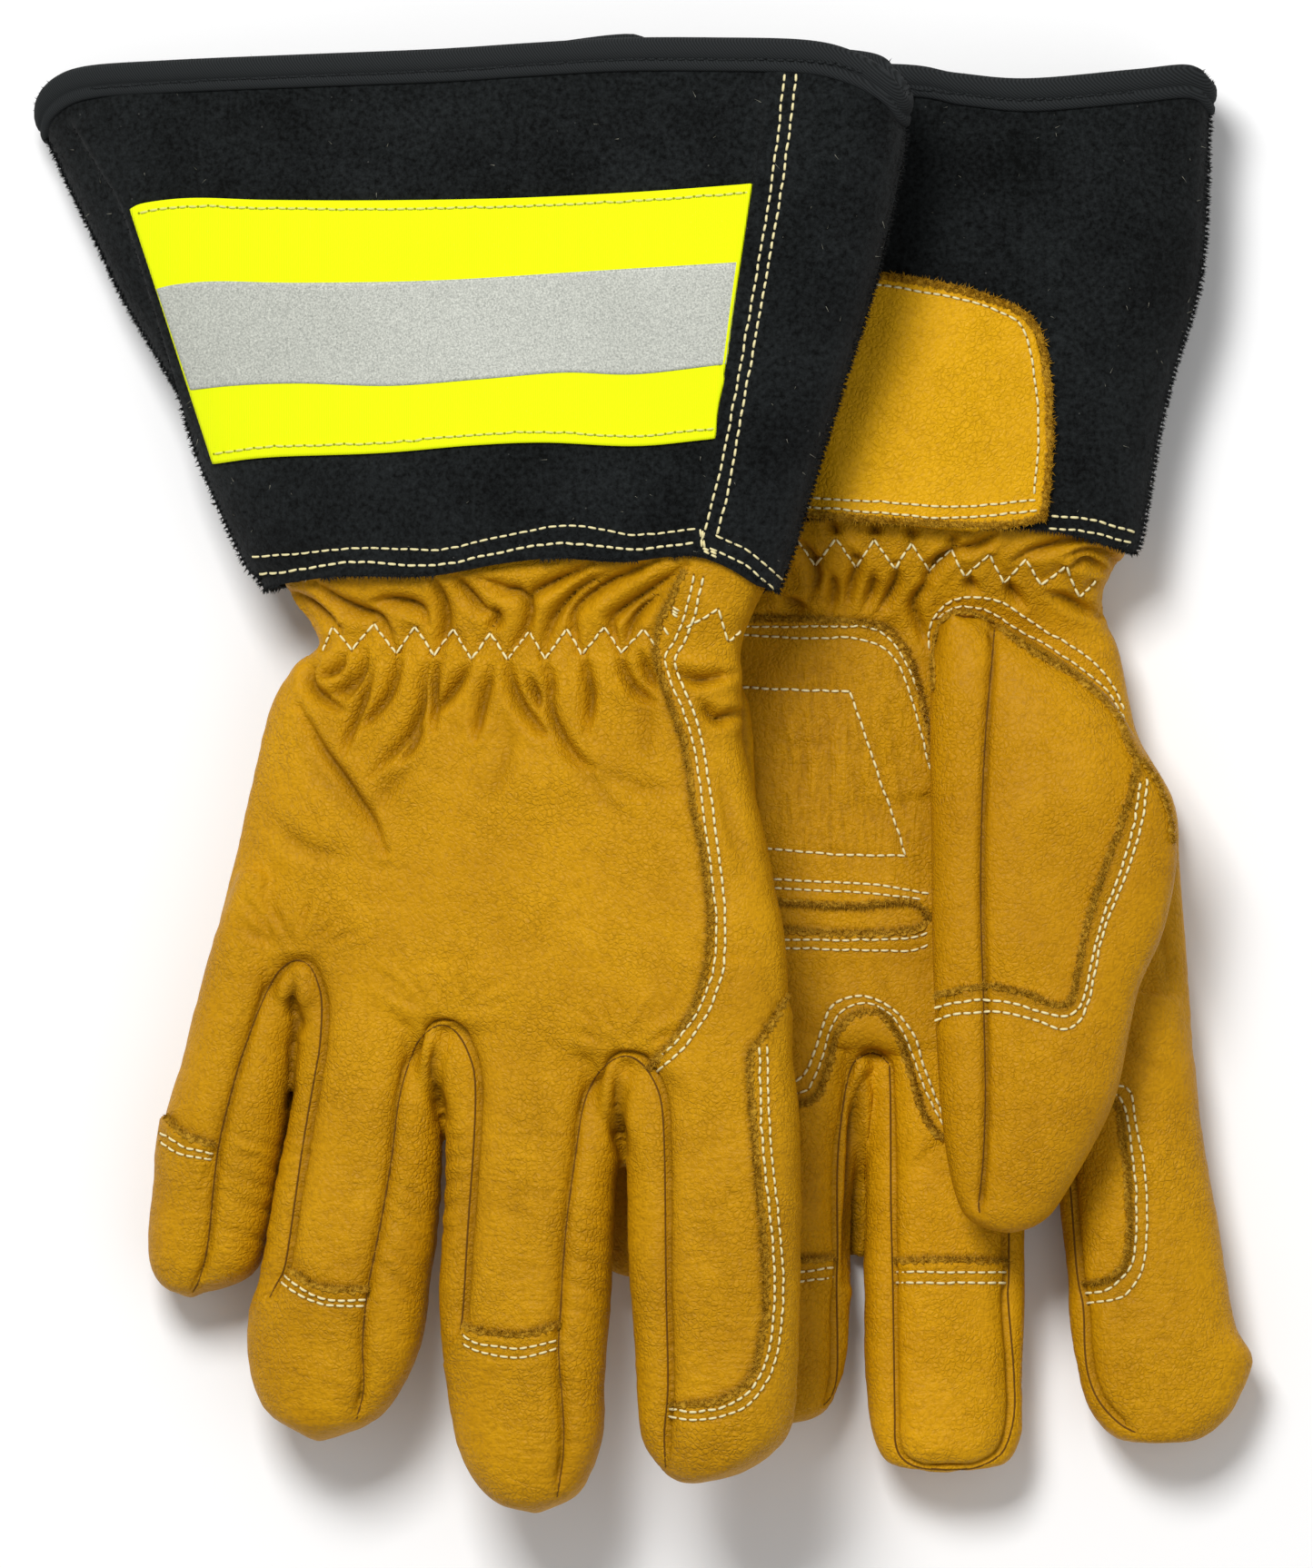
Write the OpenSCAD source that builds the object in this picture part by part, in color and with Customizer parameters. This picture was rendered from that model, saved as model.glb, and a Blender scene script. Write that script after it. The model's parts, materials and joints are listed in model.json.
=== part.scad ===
// A pair of leather work gloves with flared suede gauntlet cuffs, lying on a table.
// The right glove lies back up, tilted where it overlaps the left glove, which lies palm up.
// Each glove is drawn in its own frame: X towards the thumb, Y towards the cuff, Z out of the
// back of the hand, with the origin in the middle of the gathered wrist. Then it is laid down.

/* [Leather] */
// Thickness of the glove leather
leather_t = 1.2; // [0.9:0.1:1.6]
// Thickness of the suede of the cuff
suede_t = 1.5; // [1.1:0.1:2]
// Thickness of the sewn-on reinforcing patches
patch_t = 1.1; // [0.8:0.1:1.5]
// Thickness of the knitted lining
lining_t = 0.9; // [0.6:0.1:1.2]

/* [Fingers] */
// Width of the little finger
little_w = 28; // [25:0.5:31]
// Width of the ring finger
ring_w = 31; // [28:0.5:34]
// Width of the middle finger
middle_w = 33; // [30:0.5:36]
// Width of the index finger
index_w = 32; // [29:0.5:35]
// Length of the little finger
little_len = 47; // [42:1:53]
// Length of the ring finger
ring_len = 75; // [68:1:82]
// Length of the middle finger
middle_len = 87; // [79:1:95]
// Length of the index finger
index_len = 81; // [74:1:89]
// Thickness of the fingers of the right glove
right_finger_t = 20; // [18:0.5:20]
// Thickness of the fingers of the left glove, pressed flatter
left_finger_t = 19; // [17:0.5:19]
// Share of the finger's length where the fingertip piece starts
tip_share = 0.72; // [0.65:0.01:0.8]
// Fall of a fingertip towards the palm
finger_curl = 4; // [2:0.5:6]

/* [Hand] */
// Length of the right hand from gathers to knuckles, bunched up at the wrist
right_hand_len = 86; // [78:1:94]
// Length of the left hand from gathers to knuckles
left_hand_len = 96; // [88:1:104]
// Thickness of the right hand
right_hand_t = 21; // [20:0.5:23]
// Thickness of the left hand
left_hand_t = 21; // [19:0.5:22]
// Width at the gathers
wrist_w = 86; // [80:1:94]
// Distance from the gathers to the sewn edge of the cuff
cuff_start = 11; // [9:0.5:13]
// Length of hand leather that the cuff covers
cuff_lap = 9; // [7:0.5:12]

/* [Thumb] */
// Length of the thumb
thumb_len = 118; // [108:1:126]
// Widest part of the thumb
thumb_w = 41; // [37:0.5:44]
// Thickness of the right thumb, tucked flat under the palm
right_thumb_t = 8; // [7:0.5:9]
// Thickness of the left thumb, which lies on the palm
left_thumb_t = 17; // [15:0.5:19]
// Radius of the hole in the palm that the thumb opens from
thumb_hole_r = 12; // [10:0.5:14]

/* [Cuff] */
// Length of the right cuff
right_cuff_len = 109; // [99:1:118]
// Length of the left cuff
left_cuff_len = 90; // [82:1:98]
// Width of the cuff at its sewn edge
cuff_base_w = 103; // [101:0.5:108]
// Thickness of the cuff at its sewn edge
cuff_base_t = 30; // [29:0.5:33]
// Width of the right cuff at its mouth
right_mouth_w = 180; // [170:1:190]
// Width of the left cuff at its mouth
left_mouth_w = 168; // [158:1:178]
// Height of the mouth
mouth_t = 30; // [28:0.5:34]
// Width of the binding over the rim
binding_w = 8; // [6:0.5:10]
// Thickness of the binding
binding_t = 1.1; // [0.8:0.1:1.4]

/* [Trim] */
// Width of the high-visibility tape
tape_w = 50.8; // [45:0.2:56]
// Thickness of the tape
tape_t = 0.5; // [0.3:0.1:0.8]
// Width of the reflective strip
strip_w = 20; // [15:0.5:26]
// Thickness of the reflective strip
strip_t = 0.3; // [0.2:0.1:0.5]
// Distance from the cuff's sewn edge to the tape
tape_from_edge = 23; // [18:0.5:27]
// Width of the elastic in the wrist
elastic_w = 8; // [6:0.5:10]
// Thickness of the elastic
elastic_t = 0.8; // [0.5:0.1:1]

/* [Laying out] */
// Tilt of the right glove, its thumb side up
tilt = 16; // [15:0.5:18]
// Place of the right wrist, across
right_x = -19.6; // [-22.6:0.2:-16.6]
// Place of the right wrist, along
right_y = 26; // [23:0.5:29]
// Place of the left wrist, across
left_x = 52.4; // [50.4:0.2:56.4]
// Place of the left wrist, along
left_y = 38; // [36:0.5:41]

/* [Hidden] */
right = 0;
left = 1;
// Fingers from the little finger to the index finger
finger_names = ["little", "ring", "middle", "index"];
finger_w = [little_w, ring_w, middle_w, index_w];
finger_len = [little_len, ring_len, middle_len, index_len];
finger_splay = [[-8.5, -7.5, -1.5, 1], [-5, -3, 1, 9]];
finger_t = [right_finger_t, left_finger_t];
finger_gap = 0.8;
hand_len = [right_hand_len, left_hand_len];
hand_t = [right_hand_t, left_hand_t];
thumb_t = [right_thumb_t, left_thumb_t];
knuckle_w = little_w + ring_w + middle_w + index_w + 3 * finger_gap;
knuckle_shift = [-10.5, -4.5];
cuff_len = [right_cuff_len, left_cuff_len];
mouth_w = [right_mouth_w, left_mouth_w];
cuff_lean = [-13, -21];
// Angle round the cuff of the sewn seam on its thumb side
cuff_seam = 52;
// Angles round the cuff of its back piece and of the piece that goes round its palm side
cuff_back_angles = steps(cuff_seam, 180, 12);
cuff_palm_angles = steps(180, 360 + cuff_seam, 22);
rim_angles = [for (a = cuff_back_angles) if (a < 180) a, for (a = cuff_palm_angles) if (a < 360 + cuff_seam) a];
// Clearance between pieces that lie against each other
clear = 0.3;
// Flat left on the back of the hand where a glove lies on it
rest_cut = 0.5;
// The gathered edge of the hand leather fits inside the cuff
neck_len = cuff_start + cuff_lap;
neck_w = cuff_base_w - 2 * suede_t - 4 * clear;
neck_t = cuff_base_t - 2 * suede_t - 4 * clear;
// Share of the hand's thickness that the elastic draws in, and how far along it reaches
gather = 0.14;
gather_reach = 14;
// Squareness of a section: 2 is an ellipse, larger is boxier
hand_square = 3.4;
finger_square = 2.7;
cuff_square = 2.6;
// Angles round a finger where its back, sides and palm pieces are sewn together
back_from = 48;
back_to = 132;
palm_from = 228;
palm_to = 312;
// Angles round the cuff of the patch on its palm side
pulse_from = 250;
pulse_to = 298;
// Share of the cuff's length that the patch covers
pulse_share = 0.52;
// Angles and shares of the hand that the palm patch covers
palm_patch_from = 205;
palm_patch_to = 318;
palm_patch_top = 0.25;
palm_patch_end = 0.93;
// Shares of a finger's length where its tip starts to round off and where it ends
round_from = 0.76;
tip_end = 0.994;
tip_power = 2.4;
// Share of the hand's length where the lining of the palm ends
lining_end = 0.98;
// Thumb: where it leaves the wrist, which way it points, and its shares along its length
thumb_base = [27, -9];
thumb_heading = -3;
thumb_open = 0.3;
thumb_round_from = 0.6;
thumb_power = 1.7;
thumb_hole = [25, -25];
// Angles round a whole section
full_turn = 360;

function signed_pow(v, p) = sign(v) * pow(abs(v), p);
function section(a, w, h, n) = [w * signed_pow(cos(a), 2 / n), h * signed_pow(sin(a), 2 / n)];
function mix(a, b, t) = a + (b - a) * t;
function ease(t) = let (c = min(max(t, 0), 1)) c * c * (3 - 2 * c);
function steps(a, b, n) = [for (i = [0:n]) mix(a, b, i / n)];
function ring(n) = [for (i = [0:n - 1]) full_turn * i / n];
function round_off(s, from, power) = s < from ? 1
    : pow(max(1 - pow((s - from) / (1 - from), power), 0), 1 / power);

// Height of the glove's frame above the table, from its lowest point as it lies
rim_low = min([for (a = ring(36)) let (p = cuff_pt(right, 1, a, clear + binding_t))
    p[0] * sin(tilt) + p[2] * cos(tilt)]);
right_lift = clear - rim_low;
left_lift = hand_t[left] / 2 - rest_cut;
// Depth of the right glove under its middle plane: at its tucked thumb, and at its cuff
thumb_stack = hand_t[right] / 2 + thumb_t[right] + 2 * patch_t + 5 * clear;
cuff_stack = max(mouth_t, cuff_base_t) / 2 + 2 * binding_t + clear;
// Height between the table and the right glove, over a point of the left glove
function room_over(x, y) = let (
    stack = mix(thumb_stack, cuff_stack, ease((y - thumb_base[1]) / -thumb_base[1])))
    right_lift - stack / cos(tilt) + (left_x + x - right_x) * tan(tilt) - clear;
// The left glove is pressed flat where the right glove lies on it. A point p of the outer
// surface sinks in proportion, and a point at another depth q keeps its distance from p.
function pressed(g, p, q, tall) = g == right ? q : let (
    share = min(1, room_over(p[0], p[1]) / tall))
    [q[0], q[1], q[2] + (left_lift - p[2]) * (1 - share)];

// Hand: s runs from the top edge of the leather (0) to the knuckles (1)
function hand_s(g, y) = (neck_len - y) / (neck_len + hand_len[g]);
function hand_half_w(g, y) = y > 0
    ? mix(wrist_w, neck_w, ease(y / cuff_start)) / 2
    : mix(wrist_w, knuckle_w, pow(-y / hand_len[g], 0.8)) / 2;
function hand_half_t(g, y) = mix(hand_t[g], neck_t, ease(y / cuff_start)) / 2
    * (1 - gather * exp(-pow(y / gather_reach, 2)) * (1 - ease(y / cuff_start)));
function hand_raw(g, s, a, d) = let (
    y = mix(neck_len, -hand_len[g], s),
    square = mix(hand_square, cuff_square, ease(y / cuff_start)),
    p = section(a, hand_half_w(g, y) + d, hand_half_t(g, y) + d, square),
    flat = max(hand_t[g] / 2 - rest_cut, hand_half_t(g, y) * ease(y / cuff_start)) + d)
    [p[0] + knuckle_shift[g] * ease(-y / hand_len[g]), y,
     min(p[1], flat) - cuff_rise[g] * ease(y / cuff_start)];
function hand_pt(g, s, a, d) = let (
    up = ease(mix(neck_len, -hand_len[g], s) / cuff_start),
    tall = mix(hand_t[g], cuff_tall, up))
    pressed(g, hand_raw(g, s, a, 0), hand_raw(g, s, a, d), tall);

// Rows along the hand from the knuckles to the gathers, and the closer ones across the elastic
function palm_rows(g, from, n) = steps(from, hand_s(g, -gather_reach), n);
function gather_rows(g) = [for (y = [-elastic_w / 2, 0, elastic_w / 2]) hand_s(g, y)];
function hand_rows(g) = [each palm_rows(g, 1, 6), each gather_rows(g), hand_s(g, cuff_start), 0];

// Cuff: s runs from its sewn edge (0) to its rim (1)
function cuff_pt(g, s, a, d) = let (
    w = mix(cuff_base_w, mouth_w[g], s) / 2,
    h = mix(cuff_base_t, mouth_t, s) / 2,
    p = section(a, w + d, h + d, cuff_square))
    [p[0] + cuff_lean[g] * s, cuff_start + cuff_len[g] * s, p[1]];
// The left cuff lies on its tape, a little above the middle of the hand
cuff_rise = [0, max(cuff_base_t, mouth_t) / 2 + binding_t + tape_t + strip_t + 2 * clear - left_lift];
cuff_tall = left_lift + cuff_rise[left] + max(cuff_base_t, mouth_t) / 2;
function laid_cuff_pt(g, s, a, d) = let (down = [0, 0, cuff_rise[g]])
    pressed(g, cuff_pt(g, s, a, 0) - down, cuff_pt(g, s, a, d) - down,
            cuff_tall);

// Finger f: s runs from its base (0) to its tip (1)
function finger_x(g, f) = let (before = [for (i = [0:1:f - 1]) finger_w[i] + finger_gap])
    knuckle_shift[g] - knuckle_w / 2 + finger_w[f] / 2
    + (f == 0 ? 0 : before * [for (b = before) 1]);
function finger_raw(g, f, s, a, d) = let (
    k = round_off(s, round_from, tip_power),
    p = section(a, (finger_w[f] / 2 + d) * k, (finger_t[g] / 2 + d) * k, finger_square),
    heading = finger_splay[g][f],
    along = clear + (finger_len[f] + d) * s,
    sink = g == left ? hand_t[left] / 2 - rest_cut - finger_t[left] / 2 : 0)
    [finger_x(g, f) + p[0] * cos(heading) + along * sin(heading),
     -hand_len[g] - along * cos(heading) + p[0] * sin(heading) * ease(2 * s),
     p[1] + sink - finger_curl * s * s];
function finger_pt(g, f, s, a, d) =
    pressed(g, finger_raw(g, f, s, a, 0), finger_raw(g, f, s, a, d), hand_t[left] + finger_curl);

// Thumb: it lies against the palm, s runs from the wrist (0) to its tip (1)
function thumb_pt(g, s, a, d) = let (
    k = round_off(s, thumb_round_from, thumb_power) * round_off(1 - s, 0.9, 2.2),
    p = section(a, (thumb_w / 2 + d) * max(k, 0.3), (thumb_t[g] / 2 + d) * max(k, 0.3), finger_square),
    along = (thumb_len + d) * s,
    lift = hand_t[g] / 2 + thumb_t[g] / 2 + patch_t + 2 * clear)
    [thumb_base[0] + p[0] * cos(thumb_heading) + along * sin(thumb_heading),
     thumb_base[1] - along * cos(thumb_heading) + p[0] * sin(thumb_heading), p[1] - lift];

// A closed solid between two grids of points of the same shape. The rows run towards the
// cuff, and the columns run round the section from the thumb side over the back of the hand.
module between(outer, inner, loop = false) {
    rows = len(outer);
    cols = len(outer[0]);
    last = loop ? cols : cols - 1;
    under = rows * cols;
    function at(r, c) = r * cols + c % cols;
    points = [for (r = outer) each r, for (r = inner) each r];
    faces = [
        for (r = [0:rows - 2]) for (c = [0:last - 1]) each [
            [at(r, c), at(r, c + 1), at(r + 1, c + 1)],
            [at(r, c), at(r + 1, c + 1), at(r + 1, c)],
            [under + at(r, c), under + at(r + 1, c + 1), under + at(r, c + 1)],
            [under + at(r, c), under + at(r + 1, c), under + at(r + 1, c + 1)]],
        for (c = [0:last - 1]) each [
            [at(0, c), under + at(0, c + 1), at(0, c + 1)],
            [at(0, c), under + at(0, c), under + at(0, c + 1)],
            [at(rows - 1, c), at(rows - 1, c + 1), under + at(rows - 1, c + 1)],
            [at(rows - 1, c), under + at(rows - 1, c + 1), under + at(rows - 1, c)]],
        if (!loop) for (r = [0:rows - 2]) each [
            [at(r, 0), at(r + 1, 0), under + at(r + 1, 0)],
            [at(r, 0), under + at(r + 1, 0), under + at(r, 0)],
            [at(r, cols - 1), under + at(r + 1, cols - 1), at(r + 1, cols - 1)],
            [at(r, cols - 1), under + at(r, cols - 1), under + at(r + 1, cols - 1)]]];
    polyhedron(points, faces, convexity = 6);
}

// A closed ring whose section is a closed outline: one row for each point of the outline
module hoop(grid) {
    rows = len(grid);
    cols = len(grid[0]);
    function at(r, c) = (r % rows) * cols + c % cols;
    polyhedron([for (r = grid) each r],
        [for (r = [0:rows - 1]) for (c = [0:cols - 1]) each [
            [at(r, c), at(r, c + 1), at(r + 1, c + 1)],
            [at(r, c), at(r + 1, c + 1), at(r + 1, c)]]], convexity = 6);
}

module hand_shell(g, s_list, a_list, d_out, d_in, loop = false) {
    between([for (s = s_list) [for (a = a_list) hand_pt(g, s, a, d_out)]],
            [for (s = s_list) [for (a = a_list) hand_pt(g, s, a, d_in)]], loop);
}

module cuff_shell(g, s_list, a_list, d_out, d_in) {
    between([for (s = s_list) [for (a = a_list) laid_cuff_pt(g, s, a, d_out)]],
            [for (s = s_list) [for (a = a_list) laid_cuff_pt(g, s, a, d_in)]]);
}

module finger_shell(g, f, s_list, a_list) {
    between([for (s = s_list) [for (a = a_list) finger_pt(g, f, s, a, 0)]],
            [for (s = s_list) [for (a = a_list) finger_pt(g, f, s, a, -leather_t)]]);
}

module thumb_shell(g, s_list, a_list) {
    between([for (s = s_list) [for (a = a_list) thumb_pt(g, s, a, 0)]],
            [for (s = s_list) [for (a = a_list) thumb_pt(g, s, a, -leather_t)]]);
}

module back_panel(g) {
    color("goldenrod") hand_shell(g, hand_rows(g), steps(0, 180, 16), 0, -leather_t);
}

module palm_panel(g) {
    color("goldenrod") difference() {
        hand_shell(g, hand_rows(g), steps(180, 360, 16), 0, -leather_t);
        translate([thumb_hole[0], thumb_hole[1], -hand_t[g]])
            cylinder(r = thumb_hole_r, h = hand_t[g], $fn = 48);
    }
}

// Two thicknesses of leather sewn on the palm, with a bare fold line between them
module palm_patch(g) {
    fold = mix(palm_patch_top, palm_patch_end, 0.62);
    fold_half = 0.03;
    color("darkgoldenrod") difference() {
        for (run = [[palm_patch_top, fold - fold_half], [fold + fold_half, palm_patch_end]])
            hand_shell(g, steps(run[1], run[0], 5), steps(palm_patch_from, palm_patch_to, 10),
                       clear + patch_t, clear);
        translate([thumb_hole[0], thumb_hole[1], -hand_t[g] - patch_t])
            cylinder(r = thumb_hole_r + 2, h = hand_t[g], $fn = 48);
    }
}

module lining(g) {
    d_out = -leather_t - elastic_t - 2 * clear;
    rows = [each palm_rows(g, lining_end, 4), each gather_rows(g), hand_s(g, cuff_start)];
    color("lightgray") hand_shell(g, rows, ring(32), d_out, d_out - lining_t, true);
}

module wrist_elastic(g) {
    d_out = -leather_t - clear;
    color("white") hand_shell(g, gather_rows(g), ring(32), d_out, d_out - elastic_t, true);
}

module cuff_back(g) {
    color("black") cuff_shell(g, steps(0, 1, 7), cuff_back_angles, 0, -suede_t);
}

module cuff_palm(g) {
    color("black") cuff_shell(g, steps(0, 1, 7), cuff_palm_angles, 0, -suede_t);
}

// Folded tape over the rim, with the suede in its channel
module cuff_binding(g) {
    outside = clear + binding_t;
    inside = -suede_t - clear - binding_t;
    low = 1 - binding_w / cuff_len[g];
    seat = 1 + clear / cuff_len[g];
    top = 1 + (clear + binding_t) / cuff_len[g];
    outline = [[low, outside], [top, outside], [top, inside], [low, inside],
               [low, inside + binding_t], [seat, inside + binding_t], [seat, clear], [low, clear]];
    color("black") hoop([for (p = outline) [for (a = rim_angles) laid_cuff_pt(g, p[0], a, p[1])]]);
}

module hivis_tape(g) {
    from = tape_from_edge / cuff_len[g];
    color("yellow") cuff_shell(g, steps(from, from + tape_w / cuff_len[g], 3),
        steps(cuff_seam + 2, 178, 12), clear + tape_t, clear);
}

module reflective_strip(g) {
    from = (tape_from_edge + (tape_w - strip_w) / 2) / cuff_len[g];
    d_in = 2 * clear + tape_t;
    color("silver") cuff_shell(g, steps(from, from + strip_w / cuff_len[g], 2),
        steps(cuff_seam + 2, 178, 12), d_in + strip_t, d_in);
}

module pulse_patch(g) {
    color("goldenrod") cuff_shell(g, steps(0, pulse_share, 5), steps(pulse_from, pulse_to, 6),
        clear + patch_t, clear);
}

module thumb_front(g) {
    color("goldenrod") thumb_shell(g, steps(tip_end, 0, 12), steps(180, 360, 10));
}

// The side of the thumb towards the palm starts past the hole that the thumb opens from
module thumb_back(g) {
    color("goldenrod") thumb_shell(g, steps(tip_end, thumb_open, 9), steps(0, 180, 8));
}

module finger_back(g, f) {
    color("goldenrod") finger_shell(g, f, steps(tip_share, 0, 5), steps(back_from, back_to, 5));
}

module finger_palm(g, f) {
    color("goldenrod") finger_shell(g, f, steps(tip_share, 0, 5), steps(palm_from, palm_to, 5));
}

// The two side walls of a finger
module finger_sides(g, f) {
    color("darkgoldenrod")
        for (wall = [[palm_to - 360, back_from], [back_to, palm_from]])
            finger_shell(g, f, [each steps(tip_end, round_from, 5), each steps(tip_share, 0, 4)],
                         steps(wall[0], wall[1], 5));
}

// The fingertip piece wraps from the back of the finger over its tip to the palm
module finger_tip(g, f) {
    way = concat([for (s = steps(tip_share, tip_end, 5)) [s, back_to, back_from]],
                 [for (s = steps(tip_end, tip_share, 5)) [s, palm_from, palm_to]]);
    function row(w, d) = [for (a = steps(w[1], w[2], 5)) finger_pt(g, f, w[0], a, d)];
    color("goldenrod") between([for (w = way) row(w, 0)], [for (w = way) row(w, -leather_t)]);
}

// Lays a glove on the table: the right one tilted, the left one turned over as its mirror image
module laid(g) {
    if (g == right) translate([right_x, right_y, right_lift]) rotate([0, -tilt, 0]) children();
    else translate([left_x, left_y, left_lift]) mirror([0, 0, 1]) children();
}

for (g = [right, left]) {
    side = ["right_", "left_"][g];
    laid(g) back_panel(g);
    laid(g) palm_panel(g);
    laid(g) palm_patch(g);
    laid(g) lining(g);
    laid(g) wrist_elastic(g);
    laid(g) cuff_back(g);
    laid(g) cuff_palm(g);
    laid(g) cuff_binding(g);
    laid(g) hivis_tape(g);
    laid(g) reflective_strip(g);
    laid(g) pulse_patch(g);
    laid(g) thumb_front(g);
    laid(g) thumb_back(g);
    for (f = [0:len(finger_names) - 1]) {
        finger = str(side, finger_names[f]);
        laid(g) finger_back(g, f);
        laid(g) finger_palm(g, f);
        laid(g) finger_sides(g, f);
        laid(g) finger_tip(g, f);
    }
}
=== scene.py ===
import json
import math

import bmesh
import bpy
import numpy as np
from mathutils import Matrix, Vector
from mathutils.bvhtree import BVHTree


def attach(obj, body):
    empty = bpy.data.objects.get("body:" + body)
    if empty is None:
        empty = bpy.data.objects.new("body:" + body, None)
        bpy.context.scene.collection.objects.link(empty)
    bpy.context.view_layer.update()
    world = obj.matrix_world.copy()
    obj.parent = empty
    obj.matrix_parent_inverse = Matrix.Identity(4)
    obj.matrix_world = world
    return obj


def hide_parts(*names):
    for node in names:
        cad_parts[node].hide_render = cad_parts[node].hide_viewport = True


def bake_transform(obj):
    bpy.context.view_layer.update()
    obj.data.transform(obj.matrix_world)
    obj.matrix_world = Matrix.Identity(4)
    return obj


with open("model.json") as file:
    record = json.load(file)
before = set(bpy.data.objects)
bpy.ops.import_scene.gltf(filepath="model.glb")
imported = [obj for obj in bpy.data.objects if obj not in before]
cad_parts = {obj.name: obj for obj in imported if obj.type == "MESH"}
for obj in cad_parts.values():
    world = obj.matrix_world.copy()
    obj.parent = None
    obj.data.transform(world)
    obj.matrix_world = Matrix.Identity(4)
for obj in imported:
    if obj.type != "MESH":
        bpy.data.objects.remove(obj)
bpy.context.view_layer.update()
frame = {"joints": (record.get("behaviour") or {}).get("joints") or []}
joints = {j["name"]: j for j in frame["joints"]}
chance = np.random.default_rng(11)
mm = 0.001

# The camera looks straight down, so a pixel of the photograph is a place on the table
photo = {"wide": 1445, "high": 1726, "pixel": 0.182 * mm, "midX": 710.5, "midY": 850}


def plan(points):
    # pixels to metres on the table
    p = np.array(points, float)
    return (p - (photo["midX"], photo["midY"])) * photo["pixel"] * (1, -1)


def flow(points, fine=24):
    # a smooth curve through the points
    p = np.vstack([2 * points[0] - points[1], points, 2 * points[-1] - points[-2]])
    t = np.linspace(0, 1, fine, endpoint=False)[:, None]
    runs = []
    for a, b, c, d in zip(p[:-3], p[1:-2], p[2:-1], p[3:]):
        bow = (2 * a - 5 * b + 4 * c - d) * t * t
        twist = (3 * b - a - 3 * c + d) * t ** 3
        runs.append(0.5 * (2 * b + (c - a) * t + bow + twist))
    return np.vstack(runs + [points[-1:]])


def spread(points, count):
    # evenly spaced points along a line
    step = np.r_[0, np.cumsum(np.linalg.norm(np.diff(points, axis=0), axis=1))]
    at = np.linspace(0, step[-1], count)
    return np.stack([np.interp(at, step, points[:, i]) for i in range(points.shape[1])], 1)


def lengthOf(points):
    return np.linalg.norm(np.diff(points, axis=0), axis=1).sum()


def unit(v):
    return v / np.maximum(np.linalg.norm(v, axis=-1, keepdims=True), 1e-9)


def rail(pixels, count):
    return spread(flow(plan(pixels)), count)


def path(pixels, gap=0.6 * mm):
    line = flow(plan(pixels))
    return spread(line, max(4, int(lengthOf(line) / gap)))


def ease(v):
    v = np.clip(v, 0, 1)
    return v * v * (3 - 2 * v)


# Modelling helpers


def only(obj):
    bpy.ops.object.select_all(action="DESELECT")
    obj.select_set(True)
    bpy.context.view_layer.objects.active = obj


def apply(obj, kind, **values):
    only(obj)
    mod = obj.modifiers.new(kind.title(), kind)
    for key, value in values.items():
        setattr(mod, key, value)
    bpy.ops.object.modifier_apply(modifier=mod.name)


def gridPiece(name, points, joined=False, filled=False):
    rows, cols = points.shape[:2]
    bpy.ops.object.select_all(action="DESELECT")
    bpy.ops.mesh.primitive_grid_add(x_subdivisions=cols - 1, y_subdivisions=rows - 1, size=1)
    obj = bpy.context.object
    obj.name = obj.data.name = name
    obj.data.vertices.foreach_set("co", points.reshape(-1).astype(np.float32))
    obj.data.update()
    bpy.ops.object.mode_set(mode="EDIT")
    bpy.ops.mesh.select_all(action="SELECT")
    if joined:
        bpy.ops.mesh.remove_doubles(threshold=0.01 * mm)
    if filled:
        bpy.ops.mesh.fill_holes(sides=0)
    bpy.ops.mesh.select_all(action="SELECT")
    bpy.ops.mesh.normals_make_consistent(inside=False)
    bpy.ops.object.mode_set(mode="OBJECT")
    bpy.ops.object.shade_smooth()
    return obj


def joinAll(name, objs):
    bpy.ops.object.select_all(action="DESELECT")
    for o in objs:
        o.select_set(True)
    bpy.context.view_layer.objects.active = objs[0]
    bpy.ops.object.join()
    obj = bpy.context.object
    obj.name = obj.data.name = name
    return obj


def fetch(items, key):
    values = np.empty(len(items) * 3, np.float32)
    items.foreach_get(key, values)
    return values.reshape(-1, 3).astype(float)


def coords(obj):
    return fetch(obj.data.vertices, "co")


def normals(obj):
    return fetch(obj.data.vertex_normals, "vector")


def moveTo(obj, co):
    obj.data.vertices.foreach_set("co", co.reshape(-1).astype(np.float32))
    obj.data.update()


def paint(obj, name, values):
    layer = obj.data.attributes.get(name) or obj.data.attributes.new(name, "FLOAT", "POINT")
    layer.data.foreach_set("value", values.astype(np.float32))


def superellipse(angles, square):
    c, s = np.cos(angles), np.sin(angles)
    return np.sign(c) * np.abs(c) ** (2 / square), np.sign(s) * np.abs(s) ** (2 / square)


# How each glove lies: the right one is tilted, in the plane through its knuckle joints
leather = {"handHalf": 10.5 * mm}
littleKnuckle = Vector(joints["right_little_bend"]["pos_m"])
indexKnuckle = Vector(joints["right_index_bend"]["pos_m"])
tilt = math.atan2(indexKnuckle.z - littleKnuckle.z, indexKnuckle.x - littleKnuckle.x)
slope = math.tan(tilt)
midAtLittle = littleKnuckle.z - leather["handHalf"] * math.cos(tilt)
midX = littleKnuckle.x + leather["handHalf"] * math.sin(tilt)


def rightMid(x):
    # height of the middle of the right glove
    return midAtLittle + (x - midX) * slope


def onRight(x, y, h):
    return np.stack([x - h * math.sin(tilt), y, np.maximum(rightMid(x) + h * math.cos(tilt), 0.4 * mm)], -1)


leftLie = {"handMid": 10.2 * mm, "cuffMid": 17.3 * mm, "room": 22.6 * mm, "cuffRoom": 18.4 * mm,
           "tall": 22 * mm, "cuffTall": 33 * mm, "least": 3 * mm, "wristFrom": 28 * mm, "wristSoft": 12 * mm}


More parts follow.
